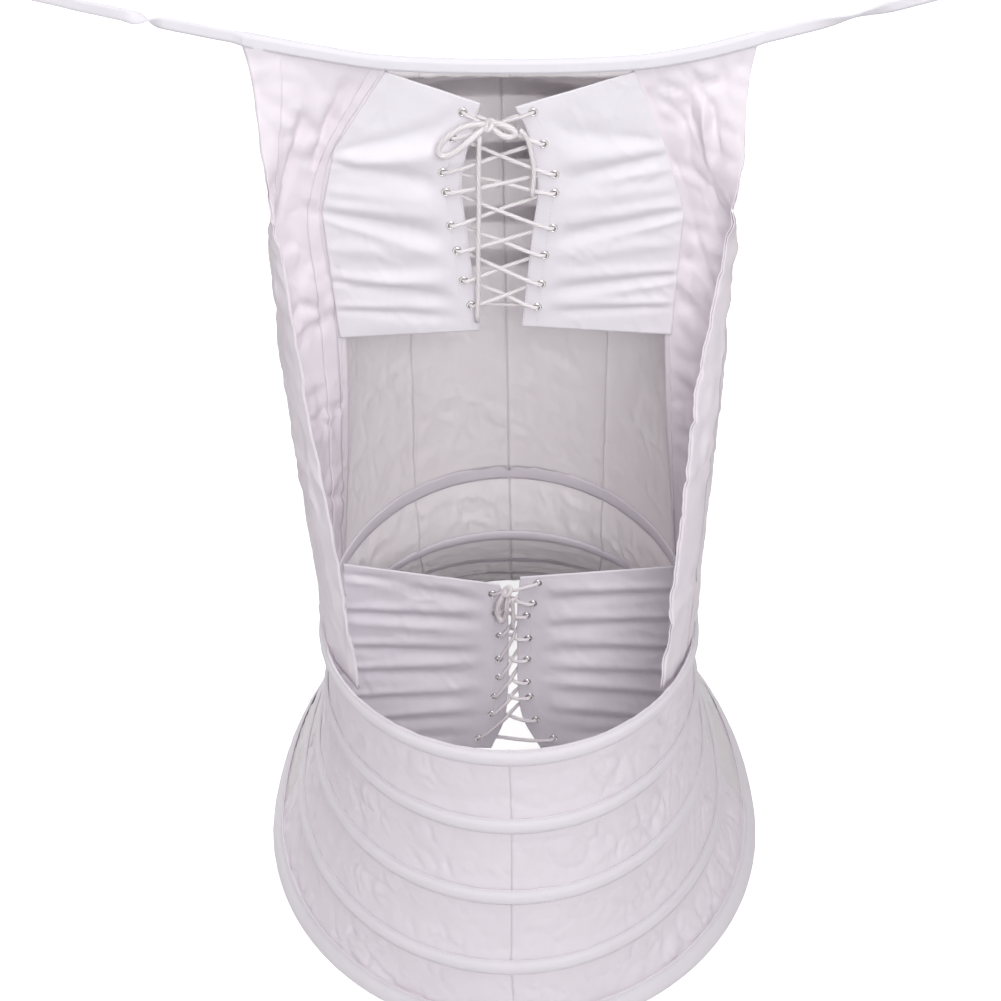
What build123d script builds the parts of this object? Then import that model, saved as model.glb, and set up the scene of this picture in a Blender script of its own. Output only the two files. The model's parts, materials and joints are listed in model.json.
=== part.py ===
from build123d import *
from collections import namedtuple
from math import asin, cos, degrees, radians, sin, tan
import os

os.makedirs("parts", exist_ok=True)

# Crinoline cage for a bustle dress, in cotton over spring steel hoops. A closed tube with five
# hoops stands on the floor and trains out at the back. Above it the cage is open in front: the
# gores rise at the sides and the back to a waist tape, and four half hoops push the back out.
# Two pairs of laced panels, across the inside, pull the side seams together.
# Millimetres. The front faces -Y, +Z is up, and the origin is on the floor, at the middle of
# the hem. Left and right are as seen from the front.

# Cloth, tape and steel
CLOTH = 1.6
LACING_CLOTH = 1.8
FIT = 0.3
STEEL_WIDTH = 7.0
STEEL_THICK = 1.3
CASING_CLOTH = 0.9
CASING_RISE = 4.4
CASING_HALF = 10.0
HEM_CASING_HEIGHT = 28.0
HEM_HOOP_HEIGHT = 10.0
HEM_CASING_RISE = 5.0
HEM_FOLD = 1.2

# Curved cloth, casings and steels are made of flat strips, this many to a half turn
STRIPS = 18
PANEL_STRIPS = 8

# The side seams, which the laced panels join, stand in one upright plane
SEAM_Y = -66.0
LACING_Y = SEAM_Y - 1.5
BACK_SEAM_X = 105.0

# The closed hoops: height, reach forward and back from the origin, half width, and how far
# back the widest point is
Hoop = namedtuple("Hoop", "height front back half widest")
RIM_EDGE = 390.0
hoops = [
    Hoop(0.0, 387.2, 389.7, 284.0, -58.0),
    Hoop(96.0, 385.5, 283.0, 234.0, -92.0),
    Hoop(193.0, 380.5, 183.0, 210.0, -127.0),
    Hoop(289.0, 377.5, 101.0, 195.0, -145.0),
    Hoop(380.0, 377.5, 103.0, 193.0, -165.5),
]
hoop_names = ["hem", "fourth", "third", "second", "rim"]

# The bustle: height of each half hoop, where the side seams lie left and right, and how far
# the back stands behind them
Bow = namedtuple("Bow", "height left right depth")
bows = [
    Bow(671.0, 170.0, 163.0, 135.0),
    Bow(740.0, 176.0, 166.0, 142.0),
    Bow(813.0, 182.0, 170.0, 144.0),
    Bow(881.0, 168.0, 151.0, 156.0),
]
bow_names = ["fourth", "third", "second", "first"]
WAIST_TOP = Bow(972.0, 116.0, 118.0, 2.6)
WAIST_BOTTOM = Bow(958.0, 118.0, 119.0, 3.4)

# The side panels' outer face at each height: half width at the side seam, at the fullest point
# and at the open front edge, how far those last two stand forward of the seam, and the turn
# of the cloth, in degrees, from facing sideways to facing back
Edge = namedtuple("Edge", "height seam bulge bulge_reach edge edge_reach turn")
left_edges = [
    Edge(RIM_EDGE + FIT, 179.0, 193.0, 92.0, 151.0, 210.0, 0.0),
    Edge(550.0, 171.0, 208.0, 70.0, 175.0, 153.0, 0.0),
    Edge(671.0, 170.0, 222.0, 56.0, 196.0, 111.0, 10.0),
    Edge(740.0, 176.0, 224.0, 44.0, 207.0, 87.0, 15.0),
    Edge(813.0, 182.0, 225.0, 40.0, 221.0, 62.0, 25.0),
    Edge(881.0, 168.0, 212.0, 15.0, 235.0, 39.0, 50.0),
    Edge(958.0, 126.0, 185.0, 2.1, 240.0, 1.8, 85.0),
    Edge(1000.0, 102.0, 180.0, 1.3, 251.0, 0.9, 88.0),
]
right_edges = [
    Edge(RIM_EDGE + FIT, 179.0, 193.0, 92.0, 151.0, 210.0, 0.0),
    Edge(550.0, 168.0, 202.0, 70.0, 168.0, 153.0, 0.0),
    Edge(671.0, 163.0, 211.0, 56.0, 180.0, 111.0, 10.0),
    Edge(740.0, 166.0, 211.0, 44.0, 192.0, 87.0, 15.0),
    Edge(813.0, 170.0, 211.0, 43.0, 207.0, 62.0, 25.0),
    Edge(881.0, 151.0, 196.0, 15.0, 219.0, 39.0, 50.0),
    Edge(958.0, 126.0, 178.0, 2.1, 224.0, 1.8, 85.0),
    Edge(1000.0, 102.0, 172.0, 1.3, 232.0, 0.9, 88.0),
]

# The waist tape: its middle line from the left tie end to the right one
TAPE_WIDTH = 12.0
TAPE_THICK = 2.4
BINDING_GROOVE = 7.3
BINDING_WALL = 1.0
BINDING_TOP = 2.0
BINDING_DROP = 1.0
TIE_REACH = 440.0
LEFT_CORNER = 251.0
RIGHT_CORNER = 232.0
tape_line = [
    (-TIE_REACH, 1043.0),
    (-LEFT_CORNER, 999.0),
    (-116.0, 974.0),
    (0.0, 970.0),
    (118.0, 974.0),
    (RIGHT_CORNER, 999.0),
    (TIE_REACH, 1057.0),
]

# The laced panels: outline, as distance from the middle and height, and their tension folds
PANEL_REACH = 245.0
STRIP_OVERLAP = 20.0
CUT_DEPTH = 20.0
FOLD_SWING = 4.0
SEAM_SWING = 1.2
upper_left_outline = [
    (-29.0, 677.0), (-36.0, 740.0), (-46.0, 845.0), (-36.0, 900.0), (-27.0, 932.0), (-112.0, 965.0)
]
upper_right_outline = [
    (13.0, 682.0), (18.0, 740.0), (28.0, 845.0), (18.0, 900.0), (6.0, 928.0), (112.0, 965.0)
]
upper_folds = [660.0, 690.0, 708.0, 735.0, 752.0, 778.0, 800.0, 825.0, 842.0, 868.0, 885.0, 925.0, 1030.0]
lower_left_outline = [
    (-20.0, 116.0), (-5.0, 160.0), (0.0, 250.0), (-2.0, 320.0), (-10.0, 352.0), (-90.0, 366.0),
    (-240.0, 384.0), (-240.0, 128.0), (-120.0, 118.0),
]
lower_right_outline = [
    (36.0, 116.0), (16.0, 160.0), (8.0, 250.0), (8.0, 320.0), (12.0, 362.0), (90.0, 366.0),
    (240.0, 380.0), (240.0, 128.0), (120.0, 118.0),
]
lower_folds = [100.0, 140.0, 158.0, 185.0, 203.0, 230.0, 248.0, 275.0, 293.0, 320.0, 338.0, 360.0, 400.0]

# The lacing cord: how far its middle stands before and behind the panels, how far it runs past
# their edges, and how far apart two strands pass where they cross
LACE = 3.0
SLACK_LACE = 4.6
LACE_STAND = 4.4
LACE_BACK = 3.1
LACE_PAST_EDGE = 1.6
LACE_CROSSING = 1.8
LACE_IN_GAP = 1.5
BOW_Y = LACING_Y - 9.0
KNOT_HALF = 5.0

LACE_SIDES = 6
INNER_POINTS = 5
EDGE_TRIES = 5
TAIL_ARC = 0.45
UPPER_KNOT = (-19.0, 914.0)
LOWER_KNOT = (-2.0, 350.0)
upper_loops = [
    [
        (-22.0, BOW_Y, 915.0), (-36.0, BOW_Y - 5.0, 918.0), (-52.0, BOW_Y - 7.0, 911.0),
        (-66.0, BOW_Y - 5.0, 896.0), (-68.0, BOW_Y - 4.0, 886.0), (-62.0, BOW_Y - 4.0, 881.0),
        (-50.0, BOW_Y - 6.0, 888.0), (-36.0, BOW_Y - 7.0, 902.0), (-23.0, BOW_Y, 911.5),
    ],
    [
        (-16.0, BOW_Y, 916.0), (-9.0, BOW_Y - 7.0, 919.0), (3.0, BOW_Y - 9.0, 915.0),
        (7.0, BOW_Y - 9.0, 909.0), (1.0, BOW_Y - 9.0, 905.0), (-9.0, BOW_Y - 7.0, 907.0),
        (-16.0, BOW_Y, 912.0),
    ],
]
lower_loops = [
    [
        (-4.5, BOW_Y, 347.5), (-11.0, BOW_Y - 4.0, 338.0), (-14.0, BOW_Y - 4.0, 322.0),
        (-8.0, BOW_Y - 4.0, 310.0), (-3.0, BOW_Y - 6.0, 318.0), (-2.5, BOW_Y - 6.0, 334.0),
        (-1.5, BOW_Y, 346.0),
    ],
]

# The loose ends of the laces, from under the knot
lace_tails = [
    ("upper_lace_left_tail", [
        (-28.0, BOW_Y - 1.5, 903.5), (-29.5, BOW_Y - 0.5, 866.0), (-29.0, BOW_Y + 0.5, 816.0),
        (-30.5, BOW_Y, 766.0), (-30.0, BOW_Y + 0.5, 727.0), (-32.0, BOW_Y - 0.5, 693.0),
    ]),
    ("upper_lace_right_tail", [
        (10.5, BOW_Y - 4.5, 911.0), (17.0, BOW_Y - 2.0, 903.0), (21.0, BOW_Y, 885.0),
        (25.0, BOW_Y + 0.5, 862.0), (22.0, BOW_Y + 0.5, 836.0),
    ]),
    ("lower_lace_tail", [
        (3.4, BOW_Y - 2.0, 342.0), (5.0, BOW_Y - 1.5, 322.0), (4.0, BOW_Y - 1.0, 298.0),
    ]),
]

# Eyelets: places on the laced panels, as distance from the middle and height
EYELET_HOLE = 2.6
EYELET_BARREL = 3.2
EYELET_RIM = 4.75
EYELET_RISE = 1.2
EYELET_SIDES = 8
upper_left_eyelets = [
    (-44.0, 923.0), (-54.0, 895.0), (-64.0, 858.0), (-61.0, 836.0),
    (-57.0, 799.0), (-51.0, 770.0), (-45.0, 736.0), (-38.0, 707.0),
]
upper_right_eyelets = [
    (23.0, 923.0), (33.0, 889.0), (44.0, 856.0), (44.0, 835.0),
    (43.0, 796.0), (35.0, 765.0), (32.0, 732.0), (28.0, 705.0),
]
lower_left_eyelets = [
    (-18.0, 339.0), (-14.0, 312.0), (-10.0, 281.0), (-11.0, 248.0),
    (-11.0, 221.0), (-16.0, 193.0), (-19.0, 167.0), (-34.0, 131.0),
]
lower_right_eyelets = [
    (31.0, 354.0), (26.0, 326.0), (19.0, 309.0), (21.0, 277.0),
    (20.0, 247.0), (20.0, 214.0), (23.0, 193.0), (30.0, 159.0), (50.0, 131.0),
]


def along(curve, count=STRIPS):
    """Points along a curve, for an outline of flat strips."""
    return [curve @ (number / count) for number in range(count + 1)]


def share(low, high, height):
    """How far a height is from the low level to the high one, from 0 to 1."""
    return (height - low.height) / (high.height - low.height)


def hoop_at(height):
    """The closed outline of the cloth between two hoops."""
    spans = list(zip(hoops, hoops[1:]))
    low, high = next((span for span in spans if height <= span[1].height), spans[-1])
    part = share(low, high, height)
    return Hoop(*[a + part * (b - a) for a, b in zip(low, high)])


def oval(height, grow=0.0):
    """The plan of the closed tube: two half ellipses that meet where it is widest."""
    hoop = hoop_at(height)
    with BuildSketch(Plane.XY.offset(height)) as plan:
        with BuildLine():
            middle, half = (0, hoop.widest), hoop.half + grow
            front = EllipticalCenterArc(
                middle, half, hoop.front + hoop.widest + grow, 180, arc_size=180, mode=Mode.PRIVATE
            )
            back = EllipticalCenterArc(
                middle, half, hoop.back - hoop.widest + grow, 0, arc_size=180, mode=Mode.PRIVATE
            )
            Polyline(*along(front)[:-1], *along(back)[:-1], close=True)
        make_face()
    return plan.sketch


def ovals(heights, grows):
    return [oval(height, grow) for height, grow in zip(heights, grows)]


def bow_at(height):
    """The outline of the back between two bows."""
    levels = bows + [WAIST_BOTTOM, WAIST_TOP]
    low, high = next(pair for pair in zip(levels, levels[1:]) if height <= pair[1].height)
    part = share(low, high, height)
    return Bow(*[a + part * (b - a) for a, b in zip(low, high)])


def bow_strip(bow, inner, outer):
    """A strip along the back, between two offsets from the cloth's outer face."""
    middle = ((bow.right - bow.left) / 2, SEAM_Y + FIT / 2)
    half = (bow.right + bow.left) / 2
    with BuildSketch(Plane.XY.offset(bow.height)) as plan:
        with BuildLine():
            far = EllipticalCenterArc(
                middle, half + outer, bow.depth + outer, 0, arc_size=180, mode=Mode.PRIVATE
            )
            near = EllipticalCenterArc(
                middle, half + inner, bow.depth + inner, 180, arc_size=-180, mode=Mode.PRIVATE
            )
            Polyline(*along(far), *along(near), close=True)
        make_face()
    return plan.sketch


# The closed tube of the skirt, cut later into its gores
skirt_levels = [HEM_FOLD + FIT] + [hoop.height for hoop in hoops[1:-1]] + [RIM_EDGE]
with BuildPart() as skirt:
    loft(ovals(skirt_levels, [0.0] * len(skirt_levels)), ruled=True)
    loft(ovals(skirt_levels, [-CLOTH] * len(skirt_levels)), ruled=True, mode=Mode.SUBTRACT)

for side, seam_x, keep in (("left", -FIT / 2, Keep.BOTTOM), ("right", FIT / 2, Keep.TOP)):
    with BuildPart() as front_gore:
        add(skirt.part)
        split(bisect_by=Plane.YZ.offset(seam_x), keep=keep)
        split(bisect_by=Plane.XZ.offset(-(SEAM_Y - FIT / 2)), keep=Keep.TOP)
    front_gore.part.label = f"front_gore_{side}"
    export_step(front_gore.part, f"parts/front_gore_{side}.step")

# The back: one shell from the waist over the bows down to the rim, and on down the skirt
rim = hoop_at(RIM_EDGE)
rim_depth = rim.back - rim.widest
far_angle = degrees(asin((SEAM_Y + FIT / 2 - rim.widest) / rim_depth))
near_angle = degrees(asin((SEAM_Y + FIT / 2 - rim.widest) / (rim_depth - CLOTH)))
with BuildSketch(Plane.XY.offset(RIM_EDGE)) as rim_strip:
    with BuildLine():
        rim_far = EllipticalCenterArc(
            (0, rim.widest), rim.half, rim_depth,
            far_angle, arc_size=180 - 2 * far_angle, mode=Mode.PRIVATE,
        )
        rim_near = EllipticalCenterArc(
            (0, rim.widest), rim.half - CLOTH, rim_depth - CLOTH,
            180 - near_angle, arc_size=2 * near_angle - 180, mode=Mode.PRIVATE,
        )
        Polyline(*along(rim_far), *along(rim_near), close=True)
    make_face()
with BuildPart() as back:
    strips = [bow_strip(bow, -CLOTH, 0.0) for bow in bows + [WAIST_BOTTOM, WAIST_TOP]]
    loft([rim_strip.sketch] + strips, ruled=True)

back_seams = [-TIE_REACH, -BACK_SEAM_X, 0.0, BACK_SEAM_X, TIE_REACH]
back_names = ["side_back_gore_left", "back_gore_left", "back_gore_right", "side_back_gore_right"]
for name, first, last in zip(back_names, back_seams, back_seams[1:]):
    with BuildPart() as back_gore:
        add(skirt.part)
        split(bisect_by=Plane.XZ.offset(-(SEAM_Y + FIT / 2)), keep=Keep.BOTTOM)
        add(back.part)
        split(bisect_by=Plane.YZ.offset(first + FIT / 2), keep=Keep.TOP)
        split(bisect_by=Plane.YZ.offset(last - FIT / 2), keep=Keep.BOTTOM)
    back_gore.part.label = name
    export_step(back_gore.part, f"parts/{name}.step")

# The side panels, from the side seam to the open front edge
for side, sign, edges in (("left", -1, left_edges), ("right", 1, right_edges)):
    sections = []
    for edge in edges:
        points = [
            (sign * edge.seam, SEAM_Y - FIT / 2),
            (sign * edge.bulge, SEAM_Y - FIT / 2 - edge.bulge_reach),
            (sign * edge.edge, SEAM_Y - FIT / 2 - edge.edge_reach),
        ]
        turn = radians(edge.turn)
        shift = (-sign * CLOTH * cos(turn), -CLOTH * sin(turn))
        with BuildSketch(Plane.XY.offset(edge.height)) as strip:
            with BuildLine():
                outer = along(ThreePointArc(*points, mode=Mode.PRIVATE), PANEL_STRIPS)
                inner = [(point.X + shift[0], point.Y + shift[1]) for point in reversed(outer)]
                Polyline(*outer, *inner, close=True)
            make_face()
        sections.append(strip.sketch)
    corner = edges[-1].edge
    with BuildPart() as side_panel:
        loft(sections, ruled=True)
        top_slope = Plane(
            origin=(sign * WAIST_TOP.left, 0, WAIST_TOP.height),
            z_dir=(-sign * (edges[-1].height - WAIST_TOP.height), 0, corner - WAIST_TOP.left),
        )
        split(bisect_by=top_slope, keep=Keep.BOTTOM)
    side_panel.part.label = f"side_panel_{side}"
    export_step(side_panel.part, f"parts/side_panel_{side}.step")


def tape_outline(drop, reach_left, reach_right):
    """The waist tape seen from the front, its upper edge lowered, between two reaches."""
    half = TAPE_WIDTH / 2
    with BuildSketch(Plane.XZ.offset(-SEAM_Y)) as outline:
        with BuildLine():
            upper = Spline([(x, z + half - drop) for x, z in tape_line])
            lower = Spline([(x, z - half - (BINDING_DROP if drop else 0)) for x, z in tape_line])
            Line(upper @ 0, lower @ 0)
            Line(upper @ 1, lower @ 1)
        make_face()
        with Locations(((reach_right - reach_left) / 2, 0)):
            Rectangle(reach_left + reach_right, 2 * tape_line[-1][1] + TAPE_WIDTH, mode=Mode.INTERSECT)
    return outline.sketch


# The waist tape is one strip: a binding folded over the tops of the gores, and two long ties
binding_left, binding_right = LEFT_CORNER + BINDING_WALL, RIGHT_CORNER + BINDING_WALL
with BuildPart() as waist_tape:
    extrude(tape_outline(0, TIE_REACH, TIE_REACH), amount=TAPE_THICK / 2, both=True)
    extrude(
        tape_outline(0, binding_left + BINDING_TOP, binding_right + BINDING_TOP),
        amount=BINDING_GROOVE / 2 + BINDING_WALL, both=True,
    )
    extrude(
        tape_outline(BINDING_TOP, binding_left, binding_right),
        amount=BINDING_GROOVE / 2, both=True, mode=Mode.SUBTRACT,
    )
waist_tape.part.label = "waist_tape"
export_step(waist_tape.part, "parts/waist_tape.step")


def flat_faces(rows, closed=False):
    """A solid through rows of corners, in flat triangles. Each row is a closed loop."""
    faces = []
    spans = list(zip(rows, rows[1:]))
    if closed:
        spans.append((rows[-1], rows[0]))
    else:
        faces = [Face(Wire.make_polygon(rows[0])), Face(Wire.make_polygon(rows[-1]))]
    for first, second in spans:
        for number in range(len(first)):
            following = (number + 1) % len(first)
            a, b, c, d = first[number], first[following], second[following], second[number]
            if a[2] < b[2]:
                triangles = ((a, b, c), (a, c, d))
            else:
                triangles = ((a, b, d), (b, c, d))
            faces += [Face(Wire.make_polygon(triangle)) for triangle in triangles]
    return Solid(Shell(faces))


def folded_cloth(folds, reaches, swings):
    """A laced panel's cloth before it is cut out: tension folds, strongest in the middle."""
    rows = []
    for x, swing in zip(reaches, swings):
        front = [
            (x, LACING_Y - LACING_CLOTH / 2 + swing * (-1) ** number, height)
            for number, height in enumerate(folds)
        ]
        back = [(x, y + LACING_CLOTH, height) for x, y, height in reversed(front)]
        rows.append(front + back)
    return flat_faces(rows)


# The upper laced panels reach out to the inside of the side seams
levels = [WAIST_BOTTOM] + bows[::-1]
left_seam = [(CLOTH + FIT - level.left, level.height) for level in levels]
right_seam = [(level.right - CLOTH - FIT, level.height) for level in levels]
panels = [
    ("upper", "left", -1, upper_folds, upper_left_outline + left_seam, upper_left_eyelets),
    ("upper", "right", 1, upper_folds, upper_right_outline + right_seam, upper_right_eyelets),
    ("lower", "left", -1, lower_folds, lower_left_outline, lower_left_eyelets),
    ("lower", "right", 1, lower_folds, lower_right_outline, lower_right_eyelets),
]
for level, side, sign, folds, outline, eyelets in panels:
    strip_x = sign * (max(abs(x) for x, z in eyelets) + EYELET_RIM + FIT)
    with BuildPart() as laced_panel:
        seam_x = sign * PANEL_REACH
        reaches = [seam_x, (seam_x + strip_x) / 2, strip_x, -sign * STRIP_OVERLAP]
        add(folded_cloth(folds, reaches, [SEAM_SWING, FOLD_SWING, 0.0, 0.0]))
        with BuildSketch(Plane.XZ.offset(-LACING_Y)):
            with BuildLine():
                Polyline(*outline, close=True)
            make_face()
        extrude(amount=CUT_DEPTH, both=True, mode=Mode.INTERSECT)
        if level == "lower":
            grows = [-CLOTH - FIT] * len(skirt_levels)
            loft(ovals(skirt_levels, grows), ruled=True, mode=Mode.INTERSECT)
        with BuildSketch(Plane.XZ.offset(-LACING_Y)):
            with Locations(*eyelets):
                RegularPolygon(EYELET_BARREL + FIT, EYELET_SIDES)
        extrude(amount=CUT_DEPTH, both=True, mode=Mode.SUBTRACT)
    laced_panel.part.label = f"{level}_laced_panel_{side}"
    export_step(laced_panel.part, f"parts/{level}_laced_panel_{side}.step")

# The eyelets: a domed rim on the cloth's face and a barrel through it, tapered at the back
seat = LACING_Y - LACING_CLOTH / 2 - FIT / 3
profile = [
    (EYELET_HOLE, seat - EYELET_RISE),
    (EYELET_RIM, seat),
    (EYELET_BARREL, seat),
    (EYELET_HOLE, LACING_Y + LACING_CLOTH / 2 + FIT),
]
turns = [radians(360 * number / EYELET_SIDES) for number in range(EYELET_SIDES)]
eyelet = flat_faces([[(r * cos(turn), y, r * sin(turn)) for r, y in profile] for turn in turns], True)
all_eyelets = upper_left_eyelets + upper_right_eyelets + lower_left_eyelets + lower_right_eyelets
with BuildPart() as eyelets:
    with Locations(*[(x, 0, z) for x, z in all_eyelets]):
        add(eyelet)
eyelets.part.label = "eyelets"
export_step(eyelets.part, "parts/eyelets.step")

def edge_on(outline, x, z, slope):
    """How far from the middle a sloping line from x, z meets a laced panel's inner edge."""
    edge = sorted(outline[:INNER_POINTS], key=lambda point: point[1])
    edge_x = edge[0][0]
    for _ in range(EDGE_TRIES):
        height = z + slope * (edge_x - x)
        low, high = next(pair for pair in zip(edge, edge[1:]) if height <= pair[1][1])
        edge_x = low[0] + (high[0] - low[0]) * (height - low[1]) / (high[1] - low[1])
    return edge_x


def meeting(first, second):
    """Where the lines from one pair of eyelets to the next cross, seen from the front."""
    (ax, az), (bx, bz) = first
    (cx, cz), (dx, dz) = second
    across = (bx - ax) * (dz - cz) - (bz - az) * (dx - cx)
    part = ((cx - ax) * (dz - cz) - (cz - az) * (dx - cx)) / across
    return ax + part * (bx - ax), az + part * (bz - az)


def strand(stops, partners, left, right, shift):
    """One half of a lace, from eyelet to eyelet: in from the front, out behind, and across."""
    before, behind = LACING_Y - LACE_STAND, LACING_Y + LACE_BACK
    route = []
    for number, (x, z) in enumerate(stops):
        route += [(x, before, z), (x, behind, z)]
        if number + 1 == len(stops):
            break
        next_x, next_z = stops[number + 1]
        pair = partners[number:number + 2]
        if len(pair) == 2:
            cross = meeting(((x, z), (next_x, next_z)), pair)
        else:
            cross = ((x + next_x) / 2, (z + next_z) / 2)
        side = 1 if next_x > x else -1
        outlines = (left, right) if side > 0 else (right, left)
        slope = (next_z - z) / (next_x - x)
        out_x = edge_on(outlines[0], x, z, slope) + side * LACE_PAST_EDGE
        in_x = edge_on(outlines[1], x, z, slope) - side * LACE_PAST_EDGE
        low_x, high_x = sorted((out_x, in_x))
        cross_x = min(max(cross[0], low_x + LACE_IN_GAP), high_x - LACE_IN_GAP)
        for via_x, y in ((out_x, behind), (cross_x, LACING_Y + shift), (in_x, before)):
            route.append((via_x, y, z + slope * (via_x - x)))
    return route


def plain_cord(route, diameter):
    """A six-sided cord along straight runs, mitred where they meet."""
    with BuildPart() as piece:
        with BuildLine() as path:
            Polyline(*route)
        with BuildSketch(Plane(route[0], z_dir=Vector(*route[1]) - Vector(*route[0]))):
            RegularPolygon(diameter / 2, LACE_SIDES)
        sweep(path=path.line, transition=Transition.RIGHT)
    return piece.part


def knot(x, z):
    """A small round knot in front of the panels."""
    rows = []
    for share_up, share_out in ((-1.0, 0.5), (-0.5, 1.0), (0.5, 1.0), (1.0, 0.5)):
        turns = [radians(360 * number / LACE_SIDES) for number in range(LACE_SIDES)]
        rows.append([
            (
                x + share_out * KNOT_HALF * cos(turn),
                BOW_Y + share_out * KNOT_HALF * sin(turn),
                z + share_up * KNOT_HALF,
            )
            for turn in turns
        ])
    return flat_faces(rows)


# Each lace is one cord: two strands cross from the bow down to the last eyelets, and join behind
laces = [
    (
        "upper", upper_left_eyelets, upper_right_eyelets, upper_left_outline, upper_right_outline,
        UPPER_KNOT, upper_loops,
    ),
    (
        "lower", lower_left_eyelets, lower_right_eyelets, lower_left_outline, lower_right_outline,
        LOWER_KNOT, lower_loops,
    ),
]
for level, left_stops, right_stops, left, right, (knot_x, knot_z), loops in laces:
    rows = list(zip(left_stops, right_stops))
    first = [row[number % 2] for number, row in enumerate(rows)]
    second = [row[1 - number % 2] for number, row in enumerate(rows)]
    second += right_stops[len(rows):]
    down = strand(first, second, left, right, LACE_CROSSING)
    up = strand(second, first, left, right, -LACE_CROSSING)[::-1]
    start = (knot_x - LACE, BOW_Y, knot_z)
    finish = (knot_x + LACE, BOW_Y, knot_z)
    with BuildPart() as lace:
        add(plain_cord([start] + down + up + [finish], LACE))
        add(knot(knot_x, knot_z))
        for loop in loops:
            add(plain_cord(loop, SLACK_LACE))
    lace.part.label = f"{level}_lace"
    export_step(lace.part, f"parts/{level}_lace.step")

# The loose ends hang from the knots, as straight runs joined by arcs
for name, route in lace_tails:
    runs = [Vector(*end) - Vector(*start) for start, end in zip(route, route[1:])]
    bends = [
        TAIL_ARC * min(one.length, two.length) / tan(radians(one.get_angle(two) / 2))
        for one, two in zip(runs, runs[1:])
    ]
    with BuildPart() as tail:
        with BuildLine() as path:
            FilletPolyline(*route, radius=bends)
        with BuildSketch(Plane(route[0], z_dir=runs[0])):
            RegularPolygon(SLACK_LACE / 2, LACE_SIDES)
        sweep(path=path.line)
    tail.part.label = name
    export_step(tail.part, f"parts/{name}.step")
    length = sum(edge.length for edge in path.edges())
    print(name, "bends", [round(bend) for bend in bends], "length", round(length))

# The hoops of the skirt: spring steel in casings that stand out as ridges round the cloth
for name, hoop in zip(hoop_names, hoops):
    at = HEM_HOOP_HEIGHT if name == "hem" else hoop.height
    half = STEEL_WIDTH / 2
    with BuildPart() as steel:
        loft(ovals([at - half, at + half], [FIT + STEEL_THICK] * 2), ruled=True)
        loft(ovals([at - half, at + half], [FIT] * 2), ruled=True, mode=Mode.SUBTRACT)
    steel.part.label = f"{name}_hoop_steel"
    export_step(steel.part, f"parts/{name}_hoop_steel.step")
    if name == "hem":
        levels = [HEM_FOLD, at, HEM_CASING_HEIGHT]
        rises = [FIT + 2 * CASING_CLOTH, HEM_CASING_RISE, FIT + CASING_CLOTH]
    else:
        levels = [at - CASING_HALF, at, at + CASING_HALF]
        rises = [FIT + CASING_CLOTH, CASING_RISE, FIT + CASING_CLOTH]
    hollow = [rise - CASING_CLOTH for rise in rises]
    with BuildPart() as casing:
        loft(ovals(levels, rises), ruled=True)
        loft(ovals(levels, hollow), ruled=True, mode=Mode.SUBTRACT)
        if name == "hem":
            fold = [0.0, HEM_FOLD]
            loft(ovals(fold, [rises[0]] * 2), ruled=True)
            loft(ovals(fold, [-CLOTH] * 2), ruled=True, mode=Mode.SUBTRACT)
    casing.part.label = f"{name}_hoop_casing"
    export_step(casing.part, f"parts/{name}_hoop_casing.step")

# The half hoops of the bustle, in casings on the back from side seam to side seam. The fourth
# casing stands on the lowest corner of the back, and the others hang from theirs.
for name, bow in zip(bow_names, bows):
    middle = bow.height + (CASING_HALF if name == "fourth" else -CASING_HALF)
    levels = [middle - CASING_HALF, middle, middle + CASING_HALF]
    half = STEEL_WIDTH / 2
    with BuildPart() as steel:
        inner, outer = FIT, FIT + STEEL_THICK
        loft([bow_strip(bow_at(z), inner, outer) for z in (middle - half, middle + half)], ruled=True)
    steel.part.label = f"{name}_bustle_steel"
    export_step(steel.part, f"parts/{name}_bustle_steel.step")
    rises = [FIT + CASING_CLOTH, CASING_RISE, FIT + CASING_CLOTH]
    with BuildPart() as casing:
        strips = [bow_strip(bow_at(z), rise - CASING_CLOTH, rise) for z, rise in zip(levels, rises)]
        loft(strips, ruled=True)
    casing.part.label = f"{name}_bustle_casing"
    export_step(casing.part, f"parts/{name}_bustle_casing.step")
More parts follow.
